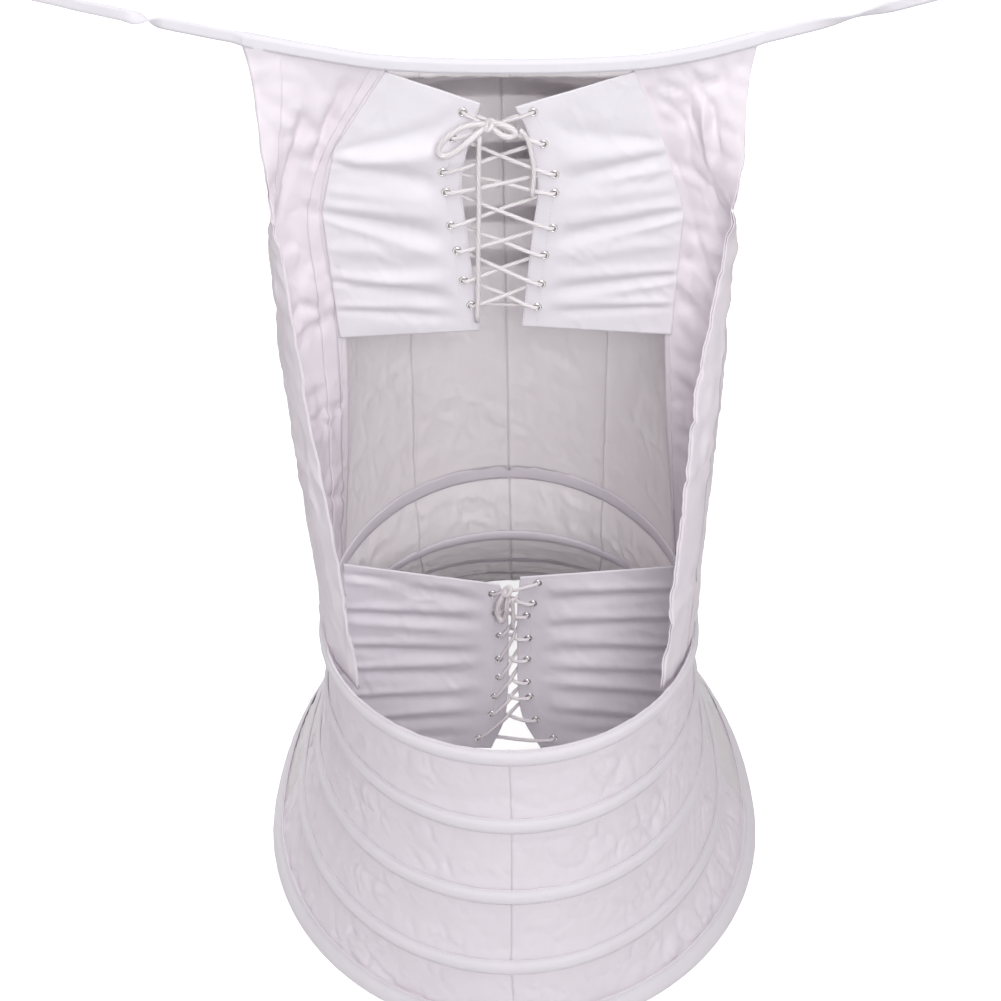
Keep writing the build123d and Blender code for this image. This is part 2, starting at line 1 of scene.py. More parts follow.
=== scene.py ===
import bpy
import json
from math import acos, asin, atan2, ceil, cos, exp, hypot, pi, radians, sin
from mathutils import Vector, noise
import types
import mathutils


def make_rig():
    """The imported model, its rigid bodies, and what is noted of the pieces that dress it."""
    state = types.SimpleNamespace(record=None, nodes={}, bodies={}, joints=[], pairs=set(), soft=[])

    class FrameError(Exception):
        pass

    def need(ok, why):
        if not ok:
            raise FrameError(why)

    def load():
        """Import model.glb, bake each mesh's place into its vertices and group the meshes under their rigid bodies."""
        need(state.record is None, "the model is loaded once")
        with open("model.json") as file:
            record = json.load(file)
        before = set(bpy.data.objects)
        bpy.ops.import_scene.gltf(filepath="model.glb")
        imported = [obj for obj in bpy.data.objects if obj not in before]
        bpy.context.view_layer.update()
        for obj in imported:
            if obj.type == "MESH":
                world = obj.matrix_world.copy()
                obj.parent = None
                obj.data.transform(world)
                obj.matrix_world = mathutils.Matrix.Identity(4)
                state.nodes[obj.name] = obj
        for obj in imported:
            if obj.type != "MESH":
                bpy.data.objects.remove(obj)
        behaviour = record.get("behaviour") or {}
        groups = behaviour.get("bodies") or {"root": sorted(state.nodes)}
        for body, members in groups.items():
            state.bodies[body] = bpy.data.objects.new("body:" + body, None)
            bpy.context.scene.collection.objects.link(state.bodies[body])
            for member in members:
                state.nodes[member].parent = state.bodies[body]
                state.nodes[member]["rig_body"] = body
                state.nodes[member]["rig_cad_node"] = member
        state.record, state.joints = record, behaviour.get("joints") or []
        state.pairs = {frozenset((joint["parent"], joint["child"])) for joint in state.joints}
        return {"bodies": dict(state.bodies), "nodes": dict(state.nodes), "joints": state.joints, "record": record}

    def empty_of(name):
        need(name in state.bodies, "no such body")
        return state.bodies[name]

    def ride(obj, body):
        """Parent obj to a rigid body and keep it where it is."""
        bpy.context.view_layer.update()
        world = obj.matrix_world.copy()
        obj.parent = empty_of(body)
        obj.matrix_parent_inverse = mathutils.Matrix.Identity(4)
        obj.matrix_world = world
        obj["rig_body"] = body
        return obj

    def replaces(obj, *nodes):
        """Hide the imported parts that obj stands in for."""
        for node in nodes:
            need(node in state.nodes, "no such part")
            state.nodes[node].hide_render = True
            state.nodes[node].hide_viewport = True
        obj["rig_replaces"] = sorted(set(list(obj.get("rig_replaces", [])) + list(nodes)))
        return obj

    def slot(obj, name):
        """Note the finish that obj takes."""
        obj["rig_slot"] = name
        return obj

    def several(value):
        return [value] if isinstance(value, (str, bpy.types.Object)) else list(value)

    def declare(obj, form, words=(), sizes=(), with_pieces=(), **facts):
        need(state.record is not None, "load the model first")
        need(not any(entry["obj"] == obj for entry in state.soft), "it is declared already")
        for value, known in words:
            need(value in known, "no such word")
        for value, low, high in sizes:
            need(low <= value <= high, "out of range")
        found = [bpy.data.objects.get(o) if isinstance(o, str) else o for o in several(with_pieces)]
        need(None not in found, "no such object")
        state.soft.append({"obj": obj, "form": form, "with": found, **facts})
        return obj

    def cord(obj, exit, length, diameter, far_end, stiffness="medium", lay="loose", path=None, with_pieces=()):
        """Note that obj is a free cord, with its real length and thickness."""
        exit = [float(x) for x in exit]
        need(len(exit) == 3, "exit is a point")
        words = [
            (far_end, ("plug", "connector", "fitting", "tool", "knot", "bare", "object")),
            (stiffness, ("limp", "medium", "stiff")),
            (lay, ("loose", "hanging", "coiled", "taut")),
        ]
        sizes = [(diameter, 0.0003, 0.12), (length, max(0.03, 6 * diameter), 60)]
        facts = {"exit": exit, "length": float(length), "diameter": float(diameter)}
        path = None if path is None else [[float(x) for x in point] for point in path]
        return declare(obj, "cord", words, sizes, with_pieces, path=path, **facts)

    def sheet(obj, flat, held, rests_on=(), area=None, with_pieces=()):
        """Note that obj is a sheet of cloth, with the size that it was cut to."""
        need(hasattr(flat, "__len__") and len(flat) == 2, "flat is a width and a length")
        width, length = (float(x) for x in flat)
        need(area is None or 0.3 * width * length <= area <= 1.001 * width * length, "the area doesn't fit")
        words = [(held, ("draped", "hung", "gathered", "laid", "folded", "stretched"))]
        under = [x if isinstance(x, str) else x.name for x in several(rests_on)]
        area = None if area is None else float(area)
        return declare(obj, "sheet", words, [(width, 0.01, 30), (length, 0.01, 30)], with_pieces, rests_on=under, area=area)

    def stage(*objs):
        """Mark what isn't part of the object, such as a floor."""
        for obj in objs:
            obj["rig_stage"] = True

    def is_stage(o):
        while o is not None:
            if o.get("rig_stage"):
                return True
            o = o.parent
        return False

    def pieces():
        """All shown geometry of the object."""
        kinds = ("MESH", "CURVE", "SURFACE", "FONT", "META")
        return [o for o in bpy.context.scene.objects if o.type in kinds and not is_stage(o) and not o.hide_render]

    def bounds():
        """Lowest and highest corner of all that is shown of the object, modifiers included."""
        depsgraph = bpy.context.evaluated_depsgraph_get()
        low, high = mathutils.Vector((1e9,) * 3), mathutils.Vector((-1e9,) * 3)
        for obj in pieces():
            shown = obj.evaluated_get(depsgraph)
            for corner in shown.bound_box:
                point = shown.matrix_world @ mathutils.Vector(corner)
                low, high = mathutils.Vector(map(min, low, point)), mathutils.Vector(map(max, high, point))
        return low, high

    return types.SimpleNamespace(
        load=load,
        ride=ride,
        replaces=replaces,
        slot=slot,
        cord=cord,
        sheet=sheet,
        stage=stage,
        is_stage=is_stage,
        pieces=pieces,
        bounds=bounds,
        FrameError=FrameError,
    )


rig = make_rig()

# A crinoline cage in off-white cotton: the closed hooped skirt, the open front with its laced
# panels, and the waist tape. Sizes are in millimetres in the tables, and in metres in the meshes.
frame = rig.load()
cad_box = [list(corner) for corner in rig.bounds()]
MM = 0.001

# Heights and outlines repeat the solids: height, front, back, half width, widest
HOOPS = [
    (0, 387.2, 389.7, 277, -58),
    (96, 385.5, 283, 234, -92),
    (193, 380.5, 183, 210, -127),
    (289, 377.5, 101, 195, -145),
    (380, 377.5, 103, 193, -165.5),
]
HOOP_NAMES = ["hem", "fourth", "third", "second", "rim"]
RIM_Z = HOOPS[-1][0]
RIM_EDGE = RIM_Z + 10
# How far right of the middle the tube stands: height, shift
HEM_SHIFT = [(0, 6.5), (96, 2), (193, 2.5), (289, 2.5), (380, 0), (400, 0)]
# The outline's power: 2 is an ellipse, and the back is squarer between the hem and the rim
ROUND = 2
SQUARER = 0.3

# Half bows of the bustle: height, left and right half widths, depth. The last two rows are the
# gathered cloth under the waist tape.
BOWS = [
    (671, 170, 163, 135), (740, 176, 166, 142), (813, 182, 170, 144),
    (881, 168, 151, 156), (958, 118, 119, 4.4), (972, 116, 118, 3.2),
]
BOW_NAMES = ["fourth", "third", "second", "first"]
LOWEST_BOW_Z, TOP_BOW_Z, GATHER_Z, WAIST_Z = (BOWS[n][0] for n in (0, 3, 4, 5))
BOW_ROUND = 2.15
TOP_SWELL = 7

# Casings and steels
CASING_HALF, STEEL_HALF = 10, 3.5
CASING_EDGE, CASING_INSIDE = 1.1, 0.2
STEEL_NEAR, STEEL_FAR = 0.5, 1.7
HEM_STEEL_Z = 10

# Planes, seams and cloth
SEAM_Y = -66
LACING_Y = -67.5
LACED_MIDDLE_Y = LACING_Y + 0.6
BACK_SEAM_X = 105
WAIST_SEAM_SHARE = 0.72
SEAM_LAP = 1.008
CLOTH_FOOT = 1.5
CLOTH = 0.8
CRUMPLE_SEED = 3.1
TUBE_CRUMPLE = 3
SIDE_CRUMPLE_SEED = 11.3

# Side panels: height, half width at the seam, the fullest point and the front edge, and how far
# the last two stand forward of the seam
LEFT_EDGES = [
    (384, 179, 193, 92, 150, 212), (470, 174, 199, 82, 163, 181),
    (550, 171, 208, 70, 176, 153), (671, 170, 222, 56, 197, 111),
    (740, 176, 226, 44, 207, 87), (813, 182, 230, 38, 220, 60),
    (881, 168, 214, 17, 232, 38), (958, 122, 185, 3.5, 242, 8),
    (1000, 102, 180, 2, 251, 2.5),
]
RIGHT_EDGES = [
    (384, 179, 193, 92, 150, 212), (470, 174, 197, 82, 160, 181),
    (550, 168, 202, 70, 168, 153), (671, 163, 211, 56, 180, 111),
    (740, 166, 212, 44, 191, 87), (813, 170, 216, 40, 206, 61),
    (881, 151, 198, 17, 219, 38), (958, 122, 178, 3.5, 226, 8),
    (1000, 102, 172, 2, 233, 2.5),
]
PANEL_FOOT, PANEL_HEAD = LEFT_EDGES[0][0], LEFT_EDGES[-1][0]
# Drape folds of the side panels: upper end across and up, lower end across and up, and width
SIDE_FOLDS = {
    "left": [(0.55, 0.95, 0.45, 0.72, 9), (0.3, 0.97, 0.18, 0.8, 7)],
    "right": [(0.62, 0.95, 0.5, 0.8, 7)],
}

# The waist tape's middle line, seen from the front
TAPE_LINE = [
    (-440, 1043), (-345, 1020), (-251, 999), (-180, 984.5), (-116, 974),
    (0, 970), (118, 974), (180, 984.5), (232, 999), (335, 1026), (440, 1057),
]
TAPE_END = TAPE_LINE[-1][0]
TAPE_HALF = 6
TIE_THICK, BAND_THICK = 1.1, 4.4
LEFT_CORNER, RIGHT_CORNER = -251, 233

# Eyelets: distance from the middle, and height
UPPER_LEFT = [
    (-44, 923), (-54, 895), (-64, 858), (-61, 836),
    (-57, 799), (-51, 770), (-45, 736), (-38, 707),
]
UPPER_RIGHT = [
    (23, 923), (33, 889), (44, 856), (44, 835),
    (43, 796), (35, 765), (32, 732), (28, 705),
]
LOWER_LEFT = [
    (-18, 339), (-14, 312), (-10, 281), (-11, 248),
    (-11, 221), (-16, 193), (-19, 167), (-34, 131),
]
LOWER_RIGHT = [
    (31, 354), (26, 326), (19, 309), (21, 277),
    (20, 247), (20, 214), (23, 193), (30, 159), (50, 131),
]

# A wave texture's scale is this over the width of one band
WAVE_TURN = 2 * pi / 20
# A colour mix node's sockets have no names of their own
MIX_PART, MIX_FIRST, MIX_SECOND, MIX_RESULT = 0, 6, 7, 2
COTTON_LINEAR = (0.86, 0.79, 0.855)
INNER_LINEAR = (0.86, 0.785, 0.825)


# Materials

def new_material(name, colour, roughness, sheen=0.0):
    """A node material with its shader, and the tree to build on."""
    material = bpy.data.materials.new(name)
    material.use_nodes = True
    tree = material.node_tree
    shader = tree.nodes["Principled BSDF"]
    shader.inputs["Base Color"].default_value = (*colour, 1)
    shader.inputs["Roughness"].default_value = roughness
    shader.inputs["Sheen Weight"].default_value = sheen
    material.diffuse_color = (*colour, 1)
    return material, tree, shader


def add_node(tree, kind, values=None, **settings):
    """A node with its settings and its sockets' values."""
    node = tree.nodes.new(kind)
    for key, value in settings.items():
        setattr(node, key, value)
    for key, value in (values or {}).items():
        node.inputs[key].default_value = value
    return node


def mix_colours(tree, first, second, part):
    """The output of a node that goes from one colour to another."""
    blend = add_node(tree, "ShaderNodeMix", data_type="RGBA", blend_type="MIX")
    blend.inputs[MIX_FIRST].default_value = (*first, 1)
    blend.inputs[MIX_SECOND].default_value = (*second, 1)
    tree.links.new(part, blend.inputs[MIX_PART])
    return blend.outputs[MIX_RESULT]


def cloth_material(name, colour, thread=1.1, crease=0.5, strength=0.12, through=0.0):
    """Plain weave cotton: threads both ways, soft creases and a faint unevenness of colour."""
    material, tree, shader = new_material(name, colour, 0.9, 0.12)
    mottle = 0.05
    shader.inputs["Subsurface Weight"].default_value = through
    shader.inputs["Subsurface Radius"].default_value = (1.0, 0.95, 0.95)
    shader.inputs["Subsurface Scale"].default_value = 0.008 * through
    link = tree.links.new
    place = add_node(tree, "ShaderNodeTexCoord")
    cloudy = add_node(tree, "ShaderNodeTexNoise", {"Scale": 9.0, "Detail": 4.0, "Roughness": 0.6})
    link(place.outputs["Object"], cloudy.inputs["Vector"])
    darker = [c * (1 - mottle) for c in colour]
    lighter = [c * (1 + mottle * share) for c, share in zip(colour, (1.0, 1.2, 1.0))]
    tint = mix_colours(tree, darker, lighter, cloudy.outputs["Fac"])
    link(tint, shader.inputs["Base Color"])
    creases = add_node(
        tree, "ShaderNodeTexNoise", {"Scale": 24.0, "Detail": 3.0, "Roughness": 0.45, "Distortion": 0.9},
        noise_type="RIDGED_MULTIFRACTAL",
    )
    link(place.outputs["Object"], creases.inputs["Vector"])
    crease_bump = add_node(tree, "ShaderNodeBump", {"Strength": crease, "Distance": 0.0035})
    link(creases.outputs["Fac"], crease_bump.inputs["Height"])
    scale = WAVE_TURN / (thread * MM)
    weave = add_node(tree, "ShaderNodeMath", operation="MULTIPLY")
    for socket, direction in enumerate(("X", "Y")):
        threads = add_node(
            tree, "ShaderNodeTexWave", {"Scale": scale, "Distortion": 0.8, "Detail": 1.0},
            bands_direction=direction,
        )
        link(place.outputs["UV"], threads.inputs["Vector"])
        link(threads.outputs["Fac"], weave.inputs[socket])
    weave_bump = add_node(tree, "ShaderNodeBump", {"Strength": strength, "Distance": 0.0004})
    link(weave.outputs["Value"], weave_bump.inputs["Height"])
    link(crease_bump.outputs["Normal"], weave_bump.inputs["Normal"])
    link(weave_bump.outputs["Normal"], shader.inputs["Normal"])
    return material


def metal_material(name, colour, roughness):
    """Plated or bare metal with fine scratches."""
    material, tree, shader = new_material(name, colour, roughness)
    shader.inputs["Metallic"].default_value = 1.0
    link = tree.links.new
    place = add_node(tree, "ShaderNodeTexCoord")
    scratch = add_node(tree, "ShaderNodeTexNoise", {"Scale": 900.0, "Detail": 3.0})
    link(place.outputs["Object"], scratch.inputs["Vector"])
    spread = add_node(tree, "ShaderNodeMapRange", {"To Min": roughness * 0.75, "To Max": roughness * 1.4})
    link(scratch.outputs["Fac"], spread.inputs["Value"])
    link(spread.outputs["Result"], shader.inputs["Roughness"])
    bump = add_node(tree, "ShaderNodeBump", {"Strength": 0.15, "Distance": 0.0002})
    link(scratch.outputs["Fac"], bump.inputs["Height"])
    link(bump.outputs["Normal"], shader.inputs["Normal"])
    return material


def cord_material(name, colour):
    """Braided cotton cord: short slanting strands round it, with painted shade in the grooves between them."""
    material, tree, shader = new_material(name, colour, 0.85, 0.15)
    link = tree.links.new
    place = add_node(tree, "ShaderNodeTexCoord")
    slant = add_node(
        tree, "ShaderNodeTexWave", {"Scale": 60.0, "Distortion": 0.5}, bands_direction="DIAGONAL",
    )
    link(place.outputs["UV"], slant.inputs["Vector"])
    fuzz = add_node(tree, "ShaderNodeTexNoise", {"Scale": 1400.0, "Detail": 3.0})
    link(place.outputs["Object"], fuzz.inputs["Vector"])
    # Painted shade: the cord is darker where the strands' bump is lowest, in the grooves between them
    shade = mix_colours(tree, [c * 0.86 for c in colour], colour, slant.outputs["Fac"])
    link(shade, shader.inputs["Base Color"])
    strands = add_node(tree, "ShaderNodeBump", {"Strength": 0.6, "Distance": 0.0005})
    link(slant.outputs["Fac"], strands.inputs["Height"])
    fibres = add_node(tree, "ShaderNodeBump", {"Strength": 0.3, "Distance": 0.0003})
    link(fuzz.outputs["Fac"], fibres.inputs["Height"])
    link(strands.outputs["Normal"], fibres.inputs["Normal"])
    link(fibres.outputs["Normal"], shader.inputs["Normal"])
    return material


COTTON = cloth_material("cotton_gore", COTTON_LINEAR)
BACK_COTTON = cloth_material("cotton_back_gore", INNER_LINEAR, through=0.6)
PANEL_COTTON = cloth_material("cotton_laced_panel", (0.86, 0.82, 0.88), crease=0.2)
CASING_COTTON = cloth_material("cotton_casing", (0.83, 0.78, 0.84), crease=0.3)
TAPE_COTTON = cloth_material("cotton_tape", (0.85, 0.82, 0.88), thread=0.7, crease=0.12, strength=0.2)
THREAD = cloth_material("sewing_thread", (0.76, 0.71, 0.76), thread=0.4, crease=0.1)
CORD = cord_material("lacing_cord", (0.90, 0.85, 0.87))
STEEL = metal_material("hoop_steel", (0.46, 0.46, 0.48), 0.4)
NICKEL = metal_material("nickel_eyelet", (0.62, 0.61, 0.60), 0.22)


# Helpers

def mix(a, b, part):
    """The value part of the way from a to b."""
    return a + (b - a) * part


def smooth(part):
    """0 below 0, 1 above 1, and an even slope between."""
    part = min(1.0, max(0.0, part))
    return part * part * (3 - 2 * part)


def levels(low, high, step):
    """Even values from low to high, no more than step apart."""
    count = max(2, ceil((high - low) / step))
    return [mix(low, high, n / count) for n in range(count + 1)]


def run_of(line):
    """The length of a line of points."""
    return sum((Vector(b) - Vector(a)).length for a, b in zip(line, line[1:]))


def table_at(rows, key, curved=False):
    """A table's row between two of its rows, where the first column is key."""
    last = len(rows) - 1
    number = next((n for n in range(last) if key <= rows[n + 1][0]), last - 1)
    low, high = rows[number], rows[number + 1]
    span = high[0] - low[0]
    part = (key - low[0]) / span
    if not curved:
        return [mix(a, b, part) for a, b in zip(low, high)]
    before = rows[max(0, number - 1)]
    after = rows[min(last, number + 2)]
    t, t2, t3 = part, part * part, part ** 3
    values = []
    for column in range(len(low)):
        a, b = low[column], high[column]
        slope_a = (b - before[column]) / (high[0] - before[0]) * span
        slope_b = (after[column] - a) / (after[0] - low[0]) * span
        ends = a * (2 * t3 - 3 * t2 + 1) + b * (3 * t2 - 2 * t3)
        values.append(ends + slope_a * (t3 - 2 * t2 + t) + slope_b * (t3 - t2))
    return values


def crumple(point, seed, size=1.0, amount=1.0):
    """Height of the cloth's wrinkles at a point, in millimetres: the grooves lie on the borders of
    noise cells, and each has a width, a depth and a narrowness."""
    x, y, z = (c / size for c in point)
    broad = noise.noise(Vector((x / 70 + seed, y / 70, z / 55)))
    warp = 9.0 * noise.noise(Vector((x / 45, y / 45 + seed, z / 45)))
    creases = 0.0
    for width, depth, groove in ((40.0, 1.0, 0.15), (20.0, 0.5, 0.22)):
        place = Vector(((x + warp) / width, (y - warp) / width + seed, (z + 0.5 * x + warp) / width))
        near = noise.voronoi(place)[0]
        creases -= depth * exp(-((near[1] - near[0]) / groove) ** 2)
    tilt = noise.noise(Vector(((x - warp) / 21, y / 21 + seed, (z + warp) / 15)))
    fine = noise.noise(Vector((x / 9, y / 9 + seed, z / 7)))
    return amount * (0.9 * broad + creases * (0.55 + broad) + 0.5 * tilt + 0.15 * fine)


def make_piece(name, points, faces, material, slot, nodes=(), uvs=None, thickness=0.0, offset=-1.0):
    """A mesh piece in the row frame from points in millimetres, riding on the one body."""
    name = f"{name}_looks"
    mesh = bpy.data.meshes.new(name)
    mesh.from_pydata([tuple(c * MM for c in point) for point in points], [], faces)
    mesh.polygons.foreach_set("use_smooth", [True] * len(mesh.polygons))
    layer = mesh.uv_layers.new(name="cloth")
    flat = uvs or [(p[0], p[2]) for p in points]
    layer.data.foreach_set("uv", [c * MM for loop in mesh.loops for c in flat[loop.vertex_index]])
    mesh.update()
    obj = bpy.data.objects.new(name, mesh)
    bpy.context.scene.collection.objects.link(obj)
    mesh.materials.append(material)
    if thickness:
        solid = obj.modifiers.new("cloth", "SOLIDIFY")
        solid.thickness = thickness * MM
        solid.offset = offset
    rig.ride(obj, "root")
    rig.slot(obj, slot)
    if nodes:
        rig.replaces(obj, *nodes)
    return obj


def grid_faces(across, up, closed_across=False, closed_up=False, start=0):
    """Quads over a grid of rows, where each row has `across` points."""
    faces = []
    for row in range(up - 1 + closed_up):
        for column in range(across - 1 + closed_across):
            a = start + row * across + column
            b = start + row * across + (column + 1) % across
            c = start + ((row + 1) % up) * across + (column + 1) % across
            d = start + ((row + 1) % up) * across + column
            faces.append((a, b, c, d))
    return faces


def end_caps(first, last, size):
    """The two ends of a tube, whose first and last rings start at these points."""
    return [tuple(first + n for n in range(size))[::-1], tuple(last + n for n in range(size))]


def normals_of(rows):
    """A normal for each point of a grid, from its neighbours."""
    result = []
    for r, row in enumerate(rows):
        line = []
        for c in range(len(row)):
            left, right = row[max(0, c - 1)], row[min(len(row) - 1, c + 1)]
            low, high = rows[max(0, r - 1)][c], rows[min(len(rows) - 1, r + 1)][c]
            normal = (Vector(right) - Vector(left)).cross(Vector(high) - Vector(low))
            line.append(normal.normalized() if normal.length > 1e-9 else Vector((0, 0, 1)))
        result.append(line)
    return result


def declare_sheet(piece, rows, rests_on):
    """Declare a piece as cloth of the size that it measures along its own surface."""
    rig.sheet(
        piece, flat=(MM * max(map(run_of, rows)), MM * max(map(run_of, zip(*rows)))),
        held="stretched", rests_on=rests_on, area=sum(polygon.area for polygon in piece.data.polygons),
    )


def cloth_piece(name, rows, lift, material, nodes=(), thickness=CLOTH, rests_on=()):
    """Cloth over rows of points, raised along its normals by lift(point, u, v)."""
    normals = normals_of(rows)
    up, across = len(rows), len(rows[0])
    points, uvs = [], []
    for r, row in enumerate(rows):
        run = 0.0
        for c, point in enumerate(row):
            if c:
                run += (Vector(point) - Vector(row[c - 1])).length
            rise = lift(point, c / (across - 1), r / (up - 1))
            points.append(tuple(Vector(point) + normals[r][c] * rise))
            uvs.append((run, point[2] + 0.6 * point[1]))
    faces = grid_faces(across, up)
    piece = make_piece(name, points, faces, material, "cotton", nodes, uvs, thickness)
    if rests_on:
        declare_sheet(piece, [points[n:n + across] for n in range(0, len(points), across)], rests_on)


# The closed tube

def tube_shape(z):
    """Half width, widest place, depths and fullness of the tube's outline at a height."""
    _, front, back, half, widest = table_at(HOOPS, z)
    fullness = ROUND + SQUARER * smooth(z / 60) * smooth((330 - z) / 120)
    return half, widest, front + widest, back - widest, fullness


def tube_point(angle, z, grow=0.0):
    """A point on the tube: the angle runs from the middle of the front, to the right."""
    half, widest, front, back, fullness = tube_shape(z)
    s, c = sin(angle), cos(angle)
    shift = table_at(HEM_SHIFT, z)[1]
    if c >= 0:
        return (shift + (half + grow) * s, widest - (front + grow) * c, z)
    x = (half + grow) * (abs(s) ** (2 / fullness)) * (1 if s >= 0 else -1)
    return (shift + x, widest + (back + grow) * (-c) ** (2 / fullness), z)


def seam_angle(z):
    """The tube's angle at the side seam."""
    _, widest, front, back, fullness = tube_shape(z)
    if SEAM_Y < widest:
        return acos((widest - SEAM_Y) / front)
    return pi - acos(min(1.0, ((SEAM_Y - widest) / back) ** (fullness / 2)))


def back_seam_angle(z):
    """The tube's angle at the seam between the side back gore and the back gore."""
    half, _, _, _, fullness = tube_shape(z)
    return pi - asin((BACK_SEAM_X / half) ** (fullness / 2))


def outward(x, y, z):
    """The level direction out of the tube at a place."""
    return (Vector((x, y, 0)) - Vector((0, tube_shape(z)[1], 0))).normalized()


# The back above the rim

def back_point(side, z, grow=0.0):
    """A point on the back: side runs from -1 at the left seam to 1 at the right one."""
    if z <= LOWEST_BOW_Z:
        seam = seam_angle(RIM_Z)
        x, y, _ = tube_point(pi - side * (pi - seam), RIM_Z, grow)
        if z <= RIM_Z:
            return x, y, z
    _, left, right, depth = table_at(BOWS, max(z, LOWEST_BOW_Z))
    middle, half = (right - left) / 2, (right + left) / 2
    if TOP_BOW_Z < z < GATHER_Z:
        depth += TOP_SWELL * sin(pi * (z - TOP_BOW_Z) / (GATHER_Z - TOP_BOW_Z))
    power = 2 / BOW_ROUND
    s, c = sin(side * pi / 2), cos(side * pi / 2)
    bow_x = middle + (half + grow) * abs(s) ** power * (1 if s >= 0 else -1)
    bow_y = SEAM_Y + (depth + grow) * max(0.0, c) ** power
    if z >= LOWEST_BOW_Z:
        return bow_x, bow_y, z
    part = (z - RIM_Z) / (LOWEST_BOW_Z - RIM_Z)
    return mix(x, bow_x, part), mix(y, bow_y, part), z


def back_side(x, z):
    """Where a seam at distance x from the middle lies on the back, from -1 to 1."""
    low, high = (0.0, 1.0) if x > 0 else (-1.0, 0.0)
    for _ in range(24):
        middle = (low + high) / 2
        if back_point(middle, z)[0] < x:
            low = middle
        else:
            high = middle
    return (low + high) / 2


def tube_or_back(side, z):
    """The back of the garment at any height, by its place from side seam to side seam."""
    if z >= RIM_Z:
        return back_point(side, z)
    return tube_point(pi - side * (pi - seam_angle(z)), z)


def gore_sides(first, last, z):
    """The places of a back gore's two seams at a height."""
    places = []
    for seam in (first, last):
        if seam in (-1, 0, 1):
            places.append(float(seam))
        elif z >= RIM_Z:
            waist_x = min(BACK_SEAM_X, table_at(BOWS, max(z, LOWEST_BOW_Z))[1] * WAIST_SEAM_SHARE)
            places.append(back_side(waist_x if seam > 0 else -waist_x, z))
        else:
            side = (pi - back_seam_angle(z)) / (pi - seam_angle(z))
            places.append(side if seam > 0 else -side)
    return places


# Gores

HELD_HEIGHTS = [8.0] + [height for height, *_ in HOOPS[1:]]
FRONT_GORE_RUN, BACK_GORE_RUN = 620.0, 110.0


def seam_dent(u, width, run):
    """A seam's shallow groove at both edges of a piece, u of the way across."""
    edge = min(u, 1 - u) * run
    return -0.6 * exp(-(edge / width) ** 2)


def tube_lift(point, u, run):
    """How the tube's cloth sags and crumples between the hoops, and puckers where they hold it."""
    x, y, z = point
    near = min(abs(z - height) for height in HELD_HEIGHTS)
    free = smooth((near - 6) / 22)
    pucker = 0.9 * (1 - free) * noise.noise(Vector((x / 11, y / 11, z / 60 + CRUMPLE_SEED)))
    sag = -1.5 * free
    return sag + TUBE_CRUMPLE * free * crumple(point, CRUMPLE_SEED) + pucker + seam_dent(u, 3.0, run)


def front_lift(point, u, v):
    return tube_lift(point, u, FRONT_GORE_RUN)


def back_lift(point, u, v):
    """The back gores' crumples, and their gathers under the waist tape."""
    x, _, z = point
    if z < RIM_EDGE:
        return tube_lift(point, u, BACK_GORE_RUN)
    free = 1.6 * smooth((z - RIM_EDGE) / 40)
    if z > 890:
        free *= smooth((WAIST_Z - z) / 40)
    gathers = 0.0
    if z > 900:
        gathers = 0.5 * smooth((z - 900) / 40) * sin(x / 3.7) * smooth((968 - z) / 20)
    return free * crumple(point, CRUMPLE_SEED, 1.1) + seam_dent(u, 2.6, BACK_GORE_RUN) + gathers


def build_front_gores():
    steps = 170
    for name, sign in (("left", -1), ("right", 1)):
        rows = []
        for z in levels(CLOTH_FOOT, RIM_EDGE, 3.3):
            seam = seam_angle(z)
            across = [seam * SEAM_LAP * n / steps for n in range(steps + 1)]
            if sign < 0:
                across = [-a for a in across[::-1]]
            rows.append([tube_point(a, z) for a in across])
        cloth_piece(
            f"front_gore_{name}", rows, front_lift, COTTON, [f"front_gore_{name}"],
            rests_on=["hem_hoop_casing", "rim_hoop_casing"],
        )


def build_back_gores():
    # Name, the places of its two seams, and steps across
    gores = [
        ("side_back_gore_left", -1, -0.5, 56), ("back_gore_left", -0.5, 0, 40),
        ("back_gore_right", 0, 0.5, 40), ("side_back_gore_right", 0.5, 1, 56),
    ]
    heights = levels(CLOTH_FOOT, TOP_BOW_Z, 5.0) + levels(TOP_BOW_Z, WAIST_Z, 4.0)[1:]
    for name, first, last, steps in gores:
        rows = []
        for z in heights:
            start, end = gore_sides(first, last, z)
            rows.append([tube_or_back(mix(start, end, n / steps), z) for n in range(steps, -1, -1)])
        cloth_piece(
            name, rows, back_lift, BACK_COTTON, [name], rests_on=["hem_hoop_casing", "waist_tape"],
        )


# Side panels

def side_point(edges, sign, u, z):
    """A point on a side panel: u runs from the side seam to the open front edge, on the parabola
    through the seam, the fullest point and the edge."""
    _, seam, bulge, bulge_reach, edge, edge_reach = table_at(edges, min(z, PANEL_HEAD), True)
    first = hypot(bulge - seam, bulge_reach)
    second = hypot(edge - bulge, edge_reach - bulge_reach)
    m = first / (first + second)
    a = (u - m) * (u - 1) / m
    b = u * (u - 1) / (m * (m - 1))
    c = u * (u - m) / (1 - m)
    return sign * (a * seam + b * bulge + c * edge), SEAM_Y - (b * bulge_reach + c * edge_reach), z


def tape_z(x):
    """Height of the waist tape's middle line."""
    return table_at(TAPE_LINE, x, True)[1]


def side_rows(edges, sign, starts, ends, across, up):
    """Rows of a side panel between two places across it, up to the waist tape."""
    columns = []
    for c in range(across + 1):
        u = mix(starts, ends, c / across)
        top = WAIST_Z
        for _ in range(4):
            top = tape_z(side_point(edges, sign, u, top)[0]) + 1.5
        columns.append([side_point(edges, sign, u, mix(PANEL_FOOT, top, n / up)) for n in range(up + 1)])
    return [list(row) for row in zip(*columns[::sign])]


